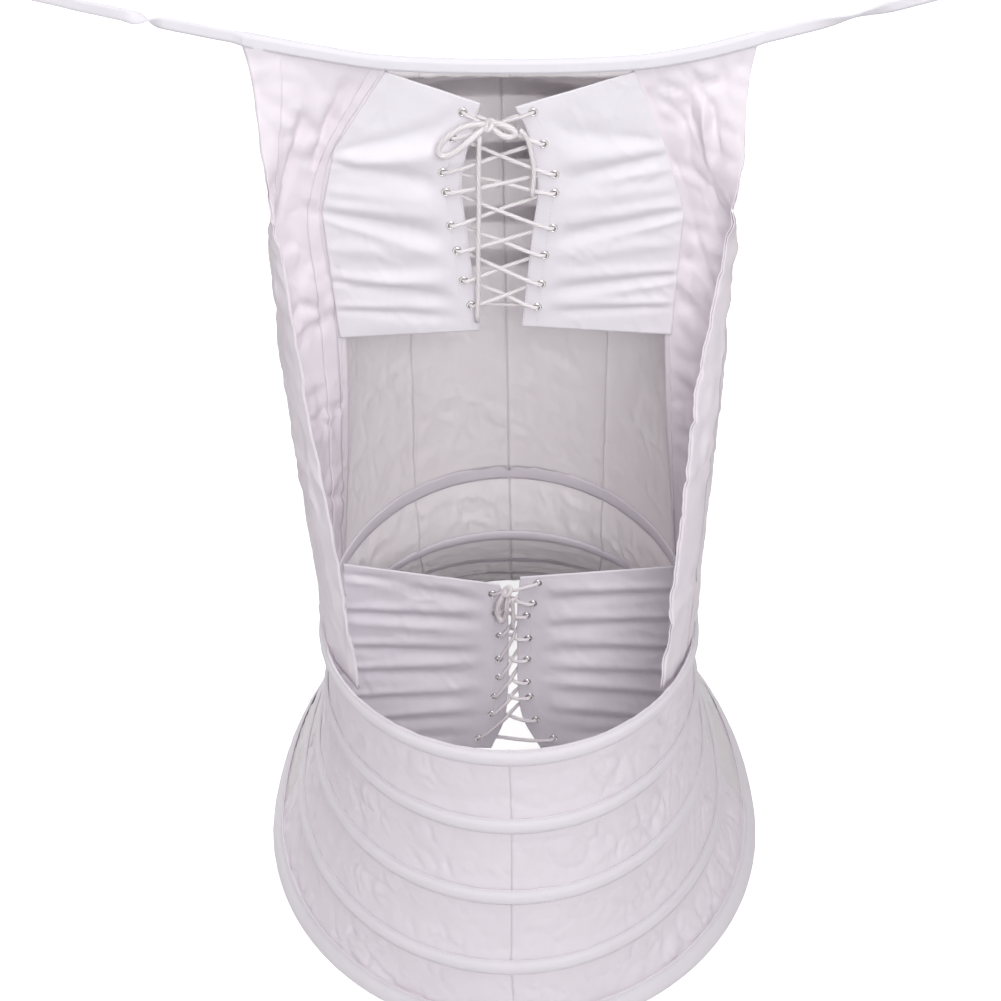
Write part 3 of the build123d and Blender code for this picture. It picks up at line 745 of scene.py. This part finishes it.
def build_side_panels():
    for name, sign, edges in (("left", -1, LEFT_EDGES), ("right", 1, RIGHT_EDGES)):
        def crumples(point, side=sign):
            return crumple(point, SIDE_CRUMPLE_SEED * side, 1.25, 3.4)

        def lift(point, u, v, side=sign, folds=SIDE_FOLDS[name]):
            place = u if side > 0 else 1 - u
            rise = crumples(point)
            for u0, v0, u1, v1, width in folds:
                if v1 < v < v0:
                    t = (v - v1) / (v0 - v1)
                    gap = (place - mix(u1, u0, t)) * 130 / width
                    rise += side * 8.0 * sin(pi * t) * exp(-gap * gap)
            return smooth(place / 0.08) * smooth((1 - v) / 0.05) * rise

        def strip_lift(point, u, v, side=sign):
            return crumples(point) - 1.9 * side
        cloth_piece(
            f"side_panel_{name}", side_rows(edges, sign, -0.035, 1.0, 80, 128), lift, COTTON,
            [f"side_panel_{name}"], rests_on=["rim_hoop_casing", "waist_tape"],
        )
        # Facing along the open edge, and the seam allowance along the side seam, both inside
        for kind, start, end, across in (("facing", 0.76, 0.995, 12), ("seam_allowance", 0.015, 0.11, 6)):
            strip = side_rows(edges, sign, start, end, across, 96)
            cloth_piece(f"{kind}_{name}", strip, strip_lift, COTTON, thickness=0.9)


# Casings and steels

def ring_piece(name, outline, profile, count, closed=True, cad=True):
    """A ring or half ring: profile points are (rise, height) and outline(part, rise, z) a place."""
    points, uvs = [], []
    for n in range(count):
        part = n / count if closed else n / (count - 1)
        for rise, z in profile:
            points.append(outline(part, rise, z))
            uvs.append((part * 1800.0, z + rise))
    faces = grid_faces(len(profile), count, True, closed)
    if not closed:
        faces += end_caps(0, len(points) - len(profile), len(profile))
    material, slot = (STEEL, "steel") if name.endswith("steel") else (CASING_COTTON, "casing")
    make_piece(name, points, faces, material, slot, [name] if cad else (), uvs)


def casing_profile(middle, rise):
    """A casing's section: flat stitched edges, and a rounded ridge over the steel."""
    outer = []
    for n in range(13):
        t = -1 + n / 6
        ridge = max(0.0, 1 - abs(t / 0.82) ** 2.4)
        outer.append((CASING_EDGE + (rise - CASING_EDGE) * ridge, middle + t * CASING_HALF))
    return [(CASING_INSIDE, middle - CASING_HALF)] + outer + [(CASING_INSIDE, middle + CASING_HALF)]


def hem_profile():
    """The hem casing's section, turned under at the floor."""
    return [
        (-1.2, 0.0), (2.0, 0.0), (3.0, 2.0), (4.6, 6.0), (5.0, 10.0), (4.4, 15.0), (2.4, 19.5),
        (1.2, 21.5), (CASING_EDGE, 25.0), (CASING_EDGE, 28.0), (CASING_INSIDE, 28.0),
        (CASING_INSIDE, 1.4), (-1.2, 1.2),
    ]


def steel_profile(middle):
    low, high = middle - STEEL_HALF, middle + STEEL_HALF
    return [(STEEL_NEAR, low), (STEEL_FAR, low), (STEEL_FAR, high), (STEEL_NEAR, high)]


def lining_profile(middle):
    """A bowed strip of cloth inside the tube, under a hoop's stitching."""
    inner = [(rise, middle + up) for rise, up in ((-1.2, -9), (-2.0, -6), (-2.3, 0), (-2.0, 6), (-1.2, 9))]
    return inner + [(rise + 0.9, z) for rise, z in inner[::-1]]


def puckered(rise, x, y, seed, fine=0.0):
    """The rise of a casing's outer side, a little uneven along the hoop."""
    if rise <= 1.05:
        return rise
    uneven = 0.10 * noise.noise(Vector((x / 16, y / 16, seed)))
    return rise * (1 + uneven + fine * noise.noise(Vector((x / 9, y / 9, seed))))


def build_hoops():
    for name, (height, *_) in zip(HOOP_NAMES, HOOPS):
        hem = name == "hem"
        middle = HEM_STEEL_Z if hem else height

        def outline(part, rise, z, seed=height):
            x, y, _ = tube_point(part * 2 * pi, max(0.0, z))
            out = outward(x, y, max(0.0, z)) * puckered(rise, x, y, seed, 0.0175)
            wave = 0.5 * noise.noise(Vector((x / 40, y / 40, seed + 5))) if z > 0.5 else 0.0
            return x + out.x, y + out.y, z + wave
        profile = hem_profile() if hem else casing_profile(middle, 4.8)
        ring_piece(f"{name}_hoop_casing", outline, profile, 420)
        ring_piece(f"{name}_hoop_steel", outline, steel_profile(middle), 240)
        if not hem:
            ring_piece(f"{name}_casing_lining", outline, lining_profile(middle), 300, cad=False)


def build_bows():
    for name, (height, *_) in zip(BOW_NAMES, BOWS):
        middle = height + (CASING_HALF if name == "fourth" else -CASING_HALF)

        def outline(part, rise, z, seed=height):
            x, y, _ = back_point(-0.995 + 1.99 * part, z)
            out = Vector((x, y - SEAM_Y + 20, 0)).normalized() * puckered(rise, x, y, seed)
            return x + out.x, y + out.y, z
        ring_piece(f"{name}_bustle_casing", outline, casing_profile(middle, 4.6), 200, False)
        ring_piece(f"{name}_bustle_steel", outline, steel_profile(middle), 120, False)


# Laced panels: edges as (height, distance from the middle), and folds as height at the side
# seam, height at the eyelets, how far the fold stands out, and its width
UPPER_SEAM_LEFT = [(668, -170.5), (740, -176.5), (813, -182.5), (881, -168.5), (965, -116.5)]
UPPER_SEAM_RIGHT = [(672, 163.5), (740, 166.5), (813, 170.5), (881, 151.5), (965, 118)]
LACED_PANELS = {
    "upper_laced_panel_left": dict(
        inner=[
            (677, -29), (740, -36), (800, -42), (845, -46), (900, -36), (932, -27),
        ],
        outer=UPPER_SEAM_LEFT, bottom=(677, 668), top=(932, 965), eyelets=UPPER_LEFT,
        folds=[
            (868, 838, 6, 11), (872, 870, -4.5, 13), (862, 888, -3, 10), (813, 778, 6.5, 12),
            (822, 806, -5, 12), (806, 760, -3, 10), (733, 712, 6, 10), (742, 728, -4, 10),
            (728, 744, -3, 9), (700, 694, 4, 8), (708, 702, -3, 8), (880, 915, 2.5, 12),
            (838, 822, -3.5, 12), (772, 768, -3, 14),
        ],
    ),
    "upper_laced_panel_right": dict(
        inner=[(682, 13), (740, 18), (800, 24), (845, 28), (900, 18), (928, 6)],
        outer=UPPER_SEAM_RIGHT, bottom=(682, 672), top=(928, 965), eyelets=UPPER_RIGHT,
        folds=[
            (878, 838, 5.5, 11), (884, 866, -4.5, 13), (862, 842, -3.5, 9), (815, 776, 6.5, 12),
            (822, 800, -4.5, 12), (806, 770, -3.5, 9), (742, 720, 5.5, 11), (750, 735, -4, 10),
            (735, 712, -3, 9), (704, 700, 3.5, 8), (712, 706, -3, 8), (892, 905, 2.5, 13),
            (842, 824, -3, 12), (780, 762, -3, 12),
        ],
    ),
    "lower_laced_panel_left": dict(
        inner=[(116, -20), (160, -5), (205, -1), (250, 0), (320, -2), (352, -10)],
        outer=None, bottom=(116, 124), top=(352, 380), eyelets=LOWER_LEFT,
        folds=[
            (366, 326, 5.5, 11), (358, 340, -4, 10), (312, 300, 5, 11), (322, 312, -4, 10),
            (300, 288, -3, 10), (262, 256, 4.5, 11), (272, 266, -3.5, 10), (225, 230, 5, 12),
            (236, 242, -3.5, 10), (186, 196, 4, 11), (196, 206, -3, 9), (150, 168, 4.5, 10),
            (158, 178, -3.5, 9), (130, 132, 3.5, 9),
        ],
    ),
    "lower_laced_panel_right": dict(
        inner=[(116, 36), (160, 16), (205, 10), (250, 9), (320, 9), (362, 12)],
        outer=None, bottom=(116, 124), top=(362, 377), eyelets=LOWER_RIGHT,
        folds=[
            (340, 330, 4.5, 11), (350, 342, -4, 10), (300, 292, 4.5, 11), (310, 302, -3.5, 10),
            (258, 262, 5, 12), (268, 272, -3.5, 10), (222, 230, 4, 11), (232, 240, -3, 9),
            (190, 204, 4.5, 11), (200, 214, -3.5, 9), (150, 172, 4.5, 11), (160, 182, -3.5, 9),
            (132, 140, 3.5, 9),
        ],
    ),
}
EYELET_CLEAR = 3.7
PANEL_THICK = 1.3
FOLD_LIMIT = 9.0
TUBE_INSIDE = 1.8


def lower_seam(sign, z):
    """Inside of the tube where the lower laced panels meet it."""
    x, _, _ = tube_point(sign * seam_angle(z), z)
    return x - sign * TUBE_INSIDE


def laced_point(panel, sign, u, v):
    """A point on a laced panel's plane: u from the inner edge to the seam, v from the bottom."""
    bottom = mix(panel["bottom"][0], panel["bottom"][1], u)
    top = mix(panel["top"][0], panel["top"][1], u)
    z = mix(bottom, top, v)
    inner_z = mix(panel["bottom"][0], panel["top"][0], v)
    inner = table_at(panel["inner"], inner_z, True)[1]
    if panel["outer"]:
        outer_z = mix(panel["outer"][0][0], panel["outer"][-1][0], v)
        outer = table_at(panel["outer"], outer_z)[1]
    else:
        outer = lower_seam(sign, min(RIM_Z, mix(panel["bottom"][1], panel["top"][1], v)))
    return mix(inner, outer, u), z


def laced_rise(panel, sign, u, v, x, z):
    """How far a laced panel's folds and crumples lie behind its plane, or before it, below 0."""
    strip = smooth((u - 0.10) / 0.22)
    seam = smooth((1 - u) / 0.10)
    middle = strip * (0.35 + 0.65 * seam)
    rise = 0.0
    for at_seam, at_eyelets, height, width in panel["folds"]:
        line = mix(at_eyelets, at_seam, u)
        gap = (z - line) / mix(width * 1.25, width * 0.45, u)
        rise += 1.05 * height * exp(-gap * gap) * (0.55 + 0.45 * sin(pi * u))
    rise *= middle
    rise += crumple((x, 0, z), 5.0 + sign, 0.9) * smooth((u - 0.02) / 0.1) * (0.3 + 0.7 * middle)
    edge = min(v, 1 - v)
    if edge < 0.03:
        rise *= 0.6 + 0.4 * edge / 0.03
    return 0.8 * max(-FOLD_LIMIT, min(FOLD_LIMIT, rise))


def clear_of_eyelets(face, points, eyelets):
    x = sum(points[i][0] for i in face) / 4
    z = sum(points[i][2] for i in face) / 4
    return all(hypot(x - ex, z - ez) > EYELET_CLEAR for ex, ez in eyelets)


def build_laced_panels():
    for name, panel in LACED_PANELS.items():
        sign = -1 if name.endswith("left") else 1
        across, up = (84, 140) if panel["outer"] else (96, 130)
        rows = []
        for r in range(up + 1):
            row = []
            for c in range(across + 1):
                # Columns stand closer together near the eyelets
                u, v = (c / across) ** 1.15, r / up
                x, z = laced_point(panel, sign, u, v)
                row.append((x, LACED_MIDDLE_Y + laced_rise(panel, sign, u, v, x, z), z))
            rows.append(row)
        points = [point for row in rows for point in row]
        faces = [
            face[::sign] for face in grid_faces(across + 1, up + 1)
            if clear_of_eyelets(face, points, panel["eyelets"])
        ]
        piece = make_piece(
            name, points, faces, PANEL_COTTON, "cotton", [name], thickness=PANEL_THICK, offset=0.0,
        )
        declare_sheet(piece, rows, [f"{name.split('_')[0]}_lace"])


# Eyelets

def build_eyelets():
    # The section of a rolled rim and its washer: distance from the axis, and depth
    profile = [
        (2.6, -1.1), (2.75, -1.75), (3.3, -2.15), (3.9, -2.1), (4.5, -1.6), (4.75, -1.05), (4.7, -0.85),
        (3.2, -0.8), (3.15, 0.9), (4.3, 1.0), (4.2, 1.35), (2.9, 1.45), (2.6, 1.0),
    ]
    points, faces = [], []
    turns = 24
    for x, z in UPPER_LEFT + UPPER_RIGHT + LOWER_LEFT + LOWER_RIGHT:
        start = len(points)
        for turn in range(turns):
            a = 2 * pi * turn / turns
            points += [(x + r * cos(a), LACED_MIDDLE_Y + y, z + r * sin(a)) for r, y in profile]
        faces += grid_faces(len(profile), turns, True, True, start)
    make_piece("eyelets", points, faces, NICKEL, "eyelet", ["eyelets"])


# Waist tape

def build_tape():
    """The tape, thick where it binds the cloth, and its thin ties: the left one turns over once
    and the right one twists a little."""
    # The section, in shares of the half thickness and the half width
    up_side = [(-1, -1), (-1, -0.5), (-1, 0), (-1, 0.5), (-1, 1)]
    section = up_side + [(0, 1.12)] + [(1, z_part) for _, z_part in up_side[::-1]] + [(0, -1.0)]
    steps = 440
    points, uvs = [], []
    for n in range(steps + 1):
        x = mix(-TAPE_END, TAPE_END, n / steps)
        z = tape_z(x)
        slope = atan2(tape_z(min(TAPE_END, x + 2)) - tape_z(max(-TAPE_END, x - 2)), 4)
        inside = smooth((x - LEFT_CORNER + 8) / 14) * smooth((RIGHT_CORNER + 8 - x) / 14)
        thick = mix(TIE_THICK, BAND_THICK, inside)
        half = TAPE_HALF * (1 + 0.03 * noise.noise(Vector((x / 20, 0, 0))))
        twist = pi * smooth((-318 - x) / 42) + 0.9 * exp(-((x - 322) / 26) ** 2)
        droop = 1.5 * noise.noise(Vector((x / 45, 3.0, 0))) * (1 - inside)
        for y_part, z_part in section:
            y, up = thick * y_part, half * z_part
            y, up = y * cos(twist) - up * sin(twist), y * sin(twist) + up * cos(twist)
            points.append((x - up * sin(slope), SEAM_Y + y + droop * 0.5, z + up * cos(slope) + droop * 0.4))
            uvs.append((x, z_part * TAPE_HALF + y_part))
    size = len(section)
    faces = grid_faces(size, steps + 1, True) + end_caps(0, steps * size, size)
    make_piece("waist_tape", points, faces, TAPE_COTTON, "tape", ["waist_tape"], uvs)


# Laces

def cord_line(name, route):
    """The smooth line of a cord through its route's control points."""
    curve = bpy.data.curves.new(name, "CURVE")
    curve.dimensions = "3D"
    spline = curve.splines.new("NURBS")
    spline.points.add(len(route) - 1)
    for point, place in zip(spline.points, route):
        point.co = (*place, 1)
    spline.order_u = 3
    spline.use_endpoint_u = True
    curve.resolution_u = 6
    holder = bpy.data.objects.new(name, curve)
    line = [tuple(v.co) for v in bpy.data.meshes.new_from_object(holder).vertices]
    bpy.data.objects.remove(holder)
    return line


def tube_along(line, radius, sides=12, pitch=12.0, flat=1.0, start=0):
    """A cord's braided surface along a line in metres: points in millimetres, faces, uvs."""
    points, uvs = [], []
    run = 0.0
    side = Vector((0, 0, 1))
    last = Vector(line[0]) / MM
    for n, place in enumerate(line):
        here = Vector(place) / MM
        ahead = Vector(line[min(n + 1, len(line) - 1)]) - Vector(line[max(n - 1, 0)])
        ahead.normalize()
        side = side - ahead * side.dot(ahead)
        if side.length < 1e-6:
            side = ahead.orthogonal()
        side.normalize()
        other = ahead.cross(side)
        run += (here - last).length
        last = here
        for k in range(sides):
            a = 2 * pi * k / sides
            r = radius * (0.90 + 0.12 * abs(sin(2 * a + pi * run / pitch)))
            points.append(tuple(here + side * (r * cos(a)) + other * (r * flat * sin(a))))
            uvs.append((run, 3 * radius * a))
    faces = grid_faces(sides, len(line), True, False, start)
    return points, faces + end_caps(start, start + (len(line) - 1) * sides, sides), uvs


BOW_Y = LACING_Y - 9.0
LACE_BEFORE, LACE_BEHIND = LACING_Y - 4.4, LACING_Y + 3.1
# How far a strand passes an edge before it goes over or under, and its least run to the crossing
EDGE_PASS, CROSSING_PASS = 1.6, 1.5
# The two halves of a lace cross this far behind and before the panels' plane
CROSSING_SHIFT = 1.8


def panel_edge(panel, x, z, slope):
    """Where a sloping line from x, z meets a laced panel's inner edge."""
    edge_x = panel["inner"][0][1]
    for _ in range(5):
        edge_x = table_at(panel["inner"], z + slope * (edge_x - x))[1]
    return edge_x


def meeting(a, b, c, d):
    """Where the lines a-b and c-d cross, seen from the front."""
    across = (b[0] - a[0]) * (d[1] - c[1]) - (b[1] - a[1]) * (d[0] - c[0])
    part = ((c[0] - a[0]) * (d[1] - c[1]) - (c[1] - a[1]) * (d[0] - c[0])) / across
    return a[0] + part * (b[0] - a[0])


def strand(stops, partners, left, right, shift):
    """One half of a lace: in through an eyelet from the front, out behind, and across."""
    route = []
    for n, (x, z) in enumerate(stops):
        route += [(x, LACE_BEFORE, z), (x, LACE_BEHIND, z)]
        if n + 1 == len(stops):
            break
        next_x, next_z = stops[n + 1]
        pair = partners[n:n + 2]
        cross = meeting((x, z), (next_x, next_z), *pair) if len(pair) == 2 else (x + next_x) / 2
        side = 1 if next_x > x else -1
        from_panel, to_panel = (left, right) if side > 0 else (right, left)
        slope = (next_z - z) / (next_x - x)
        out_x = panel_edge(from_panel, x, z, slope) + side * EDGE_PASS
        in_x = panel_edge(to_panel, x, z, slope) - side * EDGE_PASS
        low, high = sorted((out_x, in_x))
        cross = min(max(cross, low + CROSSING_PASS), high - CROSSING_PASS)
        for via, y in ((out_x, LACE_BEHIND), (cross, LACING_Y + shift), (in_x, LACE_BEFORE)):
            route.append((via, y, z + slope * (via - x)))
    return route


UPPER_LOOPS = [
    [
        (-22, BOW_Y, 915), (-36, BOW_Y - 5, 918), (-52, BOW_Y - 7, 911),
        (-66, BOW_Y - 5, 896), (-68, BOW_Y - 4, 886), (-62, BOW_Y - 4, 881),
        (-50, BOW_Y - 6, 888), (-36, BOW_Y - 7, 902), (-23, BOW_Y, 911.5),
    ],
    [
        (-16, BOW_Y, 916), (-9, BOW_Y - 7, 919), (3, BOW_Y - 9, 915),
        (7, BOW_Y - 9, 909), (1, BOW_Y - 9, 905), (-9, BOW_Y - 7, 907),
        (-16, BOW_Y, 912),
    ],
]
LOWER_LOOPS = [
    [
        (-4.5, BOW_Y, 347.5), (-11, BOW_Y - 4, 338), (-14, BOW_Y - 4, 322),
        (-8, BOW_Y - 4, 310), (-3, BOW_Y - 6, 318), (-2.5, BOW_Y - 6, 334),
        (-1.5, BOW_Y, 346),
    ],
]
TAILS = {
    "upper_lace_left_tail": [
        (-28, BOW_Y - 1.5, 903.5), (-29.5, BOW_Y - 0.5, 866), (-29, BOW_Y + 0.5, 816),
        (-30.5, BOW_Y, 766), (-30, BOW_Y + 0.5, 727), (-32, BOW_Y - 0.5, 693),
    ],
    "upper_lace_right_tail": [
        (10.5, BOW_Y - 4.5, 911), (17, BOW_Y - 2, 903), (21, BOW_Y, 885),
        (25, BOW_Y + 0.5, 862), (22, BOW_Y + 0.5, 836),
    ],
    "lower_lace_tail": [
        (3.4, BOW_Y - 2, 342), (5, BOW_Y - 1.5, 322), (4, BOW_Y - 1, 298),
    ],
}
TAIL_WIDTH = 4.6
LACE_RADIUS, LOOP_RADIUS, KNOT_RADIUS = 2.1, 3.1, 2.6
# Lace, its eyelets, the middle of its knot, and its bow loops
LACES = [
    ("upper", UPPER_LEFT, UPPER_RIGHT, (-19.0, 914.0), UPPER_LOOPS),
    ("lower", LOWER_LEFT, LOWER_RIGHT, (-2.0, 350.0), LOWER_LOOPS),
]


def in_metres(route):
    return [tuple(c * MM for c in place) for place in route]


def knot_turns(x, z):
    """The turns of cord round the crossing of the loops, wound about the knot's middle."""
    steps, per_turn = 60, 26
    turns = []
    for n in range(steps):
        a = 2 * pi * n / per_turn
        turns.append((
            x + 3.2 * cos(a) + n * 0.03 - 1, BOW_Y - 1.0 + 3.4 * sin(a) * 0.9,
            z + 3.4 * sin(a + 0.6) + n * 0.02 - 0.5,
        ))
    return in_metres(turns)


def build_laces():
    for level, left_stops, right_stops, (knot_x, knot_z), loops in LACES:
        pairs = list(zip(left_stops, right_stops))
        first = [pair[n % 2] for n, pair in enumerate(pairs)]
        second = [pair[1 - n % 2] for n, pair in enumerate(pairs)] + right_stops[len(pairs):]
        panels = [LACED_PANELS[f"{level}_laced_panel_{side}"] for side in ("left", "right")]
        down = strand(first, second, *panels, CROSSING_SHIFT)
        up = strand(second, first, *panels, -CROSSING_SHIFT)[::-1]
        route = [(knot_x - 3, BOW_Y, knot_z)] + down + up + [(knot_x + 3, BOW_Y, knot_z)]
        points, faces, uvs = tube_along(
            cord_line(level, in_metres(route)), LACE_RADIUS, sides=10, pitch=9.0, flat=0.68,
        )
        bow = [(cord_line(level, in_metres(loop)), LOOP_RADIUS, 0.85) for loop in loops]
        for line, radius, flat in bow + [(knot_turns(knot_x, knot_z), KNOT_RADIUS, 1.0)]:
            tube = tube_along(line, radius, flat=flat, start=len(points))
            points += tube[0]
            faces += tube[1]
            uvs += tube[2]
        make_piece(f"{level}_lace", points, faces, CORD, "cord", [f"{level}_lace"], uvs)
    for name, route in TAILS.items():
        line = cord_line(name, in_metres(route))
        points, faces, uvs = tube_along(line, TAIL_WIDTH / 2)
        tail = make_piece(name, points, faces, CORD, "cord", [name], uvs)
        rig.cord(
            tail, exit=line[0], length=run_of(line), diameter=TAIL_WIDTH * MM,
            far_end="knot" if name == "upper_lace_left_tail" else "bare",
            stiffness="limp", lay="hanging", path=line,
        )


# Stitching

STITCH_LENGTH, STITCH_GAP = 2.6, 1.7
STITCH_HALF, STITCH_HIGH = 0.275, 0.35
# Stations along a stitch: place, share of the width, share of the height
STITCH_SHAPE = [(-0.5, 0.4, 0.0), (-0.25, 1.0, 1.0), (0.25, 1.0, 1.0), (0.5, 0.4, 0.0)]


def stitch_points(place, ahead, out):
    """One stitch, as rows of three points: its two sides and its ridge between them."""
    across = ahead.cross(out).normalized()
    points = []
    for along, width, height in STITCH_SHAPE:
        centre = place + ahead * (along * STITCH_LENGTH)
        for side, lift in ((-1, 0.0), (0, 1.0), (1, 0.0)):
            rise = lift * height * STITCH_HIGH + 0.05
            points.append(tuple(centre + across * (side * width * STITCH_HALF) + out * rise))
    return points


def stitch_rows(name, lines):
    """Rows of raised stitches along lines of (place, outward direction) in millimetres."""
    points, faces = [], []
    for line in lines:
        run, target = 0.0, 0.0
        for (a, out_a), (b, out_b) in zip(line, line[1:]):
            a, b = Vector(a), Vector(b)
            span = (b - a).length
            if span < 1e-6:
                continue
            ahead = (b - a) / span
            out = (Vector(out_a) + Vector(out_b)).normalized()
            while target < run + span:
                start = len(points)
                points += stitch_points(a + ahead * (target - run), ahead, out)
                faces += grid_faces(3, len(STITCH_SHAPE), True, False, start)
                faces += end_caps(start, start + 9, 3)
                target += STITCH_LENGTH + STITCH_GAP
            run += span
    make_piece(name, points, faces, THREAD, "cotton")


def hoop_line(z):
    """A line of stitching round the tube, on a casing's flat edge."""
    line = []
    for n in range(361):
        x, y, _ = tube_point(2 * pi * n / 360, z)
        out = outward(x, y, z)
        line.append(((x + out.x * 1.25, y + out.y * 1.25, z), tuple(out)))
    return line


def edge_line(panel, sign, inset):
    """A line of stitching along a laced panel's inner edge."""
    line = []
    for n in range(121):
        x, z = laced_point(panel, sign, 0.0, 0.01 + 0.98 * n / 120)
        line.append(((x + sign * inset, LACING_Y - 0.12, z), (0, -1, 0)))
    return line


def build_stitching():
    heights = [24.5] + [z + offset for z, *_ in HOOPS[1:] for offset in (-8.8, 8.8)]
    stitch_rows("casing_stitching", [hoop_line(z) for z in heights])
    stitch_rows("panel_stitching", [
        edge_line(panel, -1 if name.endswith("left") else 1, inset)
        for name, panel in LACED_PANELS.items() for inset in (1.6, 15.0)
    ])
    tape = []
    for n in range(241):
        x = mix(LEFT_CORNER + 4, RIGHT_CORNER - 4, n / 240)
        tape.append(((x, SEAM_Y - BAND_THICK - 0.05, tape_z(x) - 4.4), (0, -1, 0)))
    stitch_rows("tape_stitching", [tape])


# Floor, light and camera

FLOOR_REACH = 12.0
FLOOR_GLOW = 0.75
SKY_SOFT, SKY_SEEN = 0.24, 1.0
WHITE = (1, 1, 1, 1)
# Lamps aim at the middle of the garment: name, place in metres, power, size
LAMPS = [
    ("key", (0.45, -2.6, 2.4), 42.0, 1.1), ("back", (-0.6, 2.7, 1.8), 48.0, 2.2),
    ("side", (-2.7, 0.4, 1.3), 5.0, 1.6), ("top", (0.0, -0.75, 2.7), 20.0, 1.2),
]
LAMP_AIM = (0, -0.05, 0.55)
# The camera, solved from the photograph's hoops and panels
PHOTO_WIDTH, PHOTO_SHIFT = 1001, -8.5
CAMERA_PLACE = (0, -2.2715, 2.089)
CAMERA_DOWN = 36.39
CAMERA_LENS, CAMERA_SENSOR = 93.42, 36.0


def seen_directly(tree, path):
    """1 for rays from the camera, and for those that a mirror or glass passes on."""
    total = path.outputs["Is Camera Ray"]
    for kind in ("Is Glossy Ray", "Is Transmission Ray"):
        either = add_node(tree, "ShaderNodeMath", operation="MAXIMUM")
        tree.links.new(total, either.inputs[0])
        tree.links.new(path.outputs[kind], either.inputs[1])
        total = either.outputs["Value"]
    return total


def by_ray(tree, lighting, seen, surface):
    """One shader for the rays that light the object, and one for those that see the stage."""
    path = add_node(tree, "ShaderNodeLightPath")
    blend = add_node(tree, "ShaderNodeMixShader")
    tree.links.new(seen_directly(tree, path), blend.inputs["Fac"])
    tree.links.new(lighting, blend.inputs[1])
    tree.links.new(seen, blend.inputs[2])
    tree.links.new(blend.outputs["Shader"], surface)


def place_in_scene(name, data, place=(0, 0, 0), turn=(0, 0, 0)):
    obj = bpy.data.objects.new(name, data)
    obj.location, obj.rotation_euler = place, turn
    bpy.context.scene.collection.objects.link(obj)
    return obj


def build_floor():
    floor = bpy.data.meshes.new("floor")
    corners = [(x * FLOOR_REACH, y * FLOOR_REACH, 0) for x, y in ((-1, -1), (1, -1), (1, 1), (-1, 1))]
    floor.from_pydata(corners, [], [(0, 1, 2, 3)])
    material, tree, shader = new_material("floor", (0.93, 0.93, 0.93), 1.0)
    glow = add_node(tree, "ShaderNodeEmission", {"Color": WHITE, "Strength": FLOOR_GLOW})
    both = add_node(tree, "ShaderNodeAddShader")
    tree.links.new(shader.outputs["BSDF"], both.inputs[0])
    tree.links.new(glow.outputs["Emission"], both.inputs[1])
    surface = tree.nodes["Material Output"].inputs["Surface"]
    by_ray(tree, shader.outputs["BSDF"], both.outputs["Shader"], surface)
    floor.materials.append(material)
    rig.stage(place_in_scene("floor", floor, (0, 0, -0.0005)))


def build_world():
    world = bpy.data.worlds.new("studio")
    bpy.context.scene.world = world
    world.use_nodes = True
    tree = world.node_tree
    soft = tree.nodes["Background"]
    soft.inputs["Color"].default_value = WHITE
    soft.inputs["Strength"].default_value = SKY_SOFT
    seen = add_node(tree, "ShaderNodeBackground", {"Color": WHITE, "Strength": SKY_SEEN})
    surface = tree.nodes["World Output"].inputs["Surface"]
    by_ray(tree, soft.outputs["Background"], seen.outputs["Background"], surface)


def build_lamps():
    for name, place, power, size in LAMPS:
        lamp = bpy.data.lights.new(name, "AREA")
        lamp.energy, lamp.size = power, size
        turn = (Vector(LAMP_AIM) - Vector(place)).to_track_quat("-Z", "Y").to_euler()
        place_in_scene(name, lamp, place, turn)


def build_camera():
    camera = bpy.data.cameras.new("camera")
    camera.lens, camera.sensor_width = CAMERA_LENS, CAMERA_SENSOR
    camera.shift_x = PHOTO_SHIFT / PHOTO_WIDTH
    turn = (radians(90 - CAMERA_DOWN), 0, 0)
    bpy.context.scene.camera = place_in_scene("camera", camera, CAMERA_PLACE, turn)
    bpy.context.scene.view_settings.view_transform = "Standard"


build_floor()
build_world()
build_lamps()
build_camera()
build_front_gores()
build_back_gores()
build_side_panels()
build_hoops()
build_bows()
build_laced_panels()
build_eyelets()
build_tape()
build_laces()
build_stitching()

with open("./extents.json", "w") as out:
    json.dump({"cad": cad_box, "visual": [list(corner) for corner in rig.bounds()]}, out)
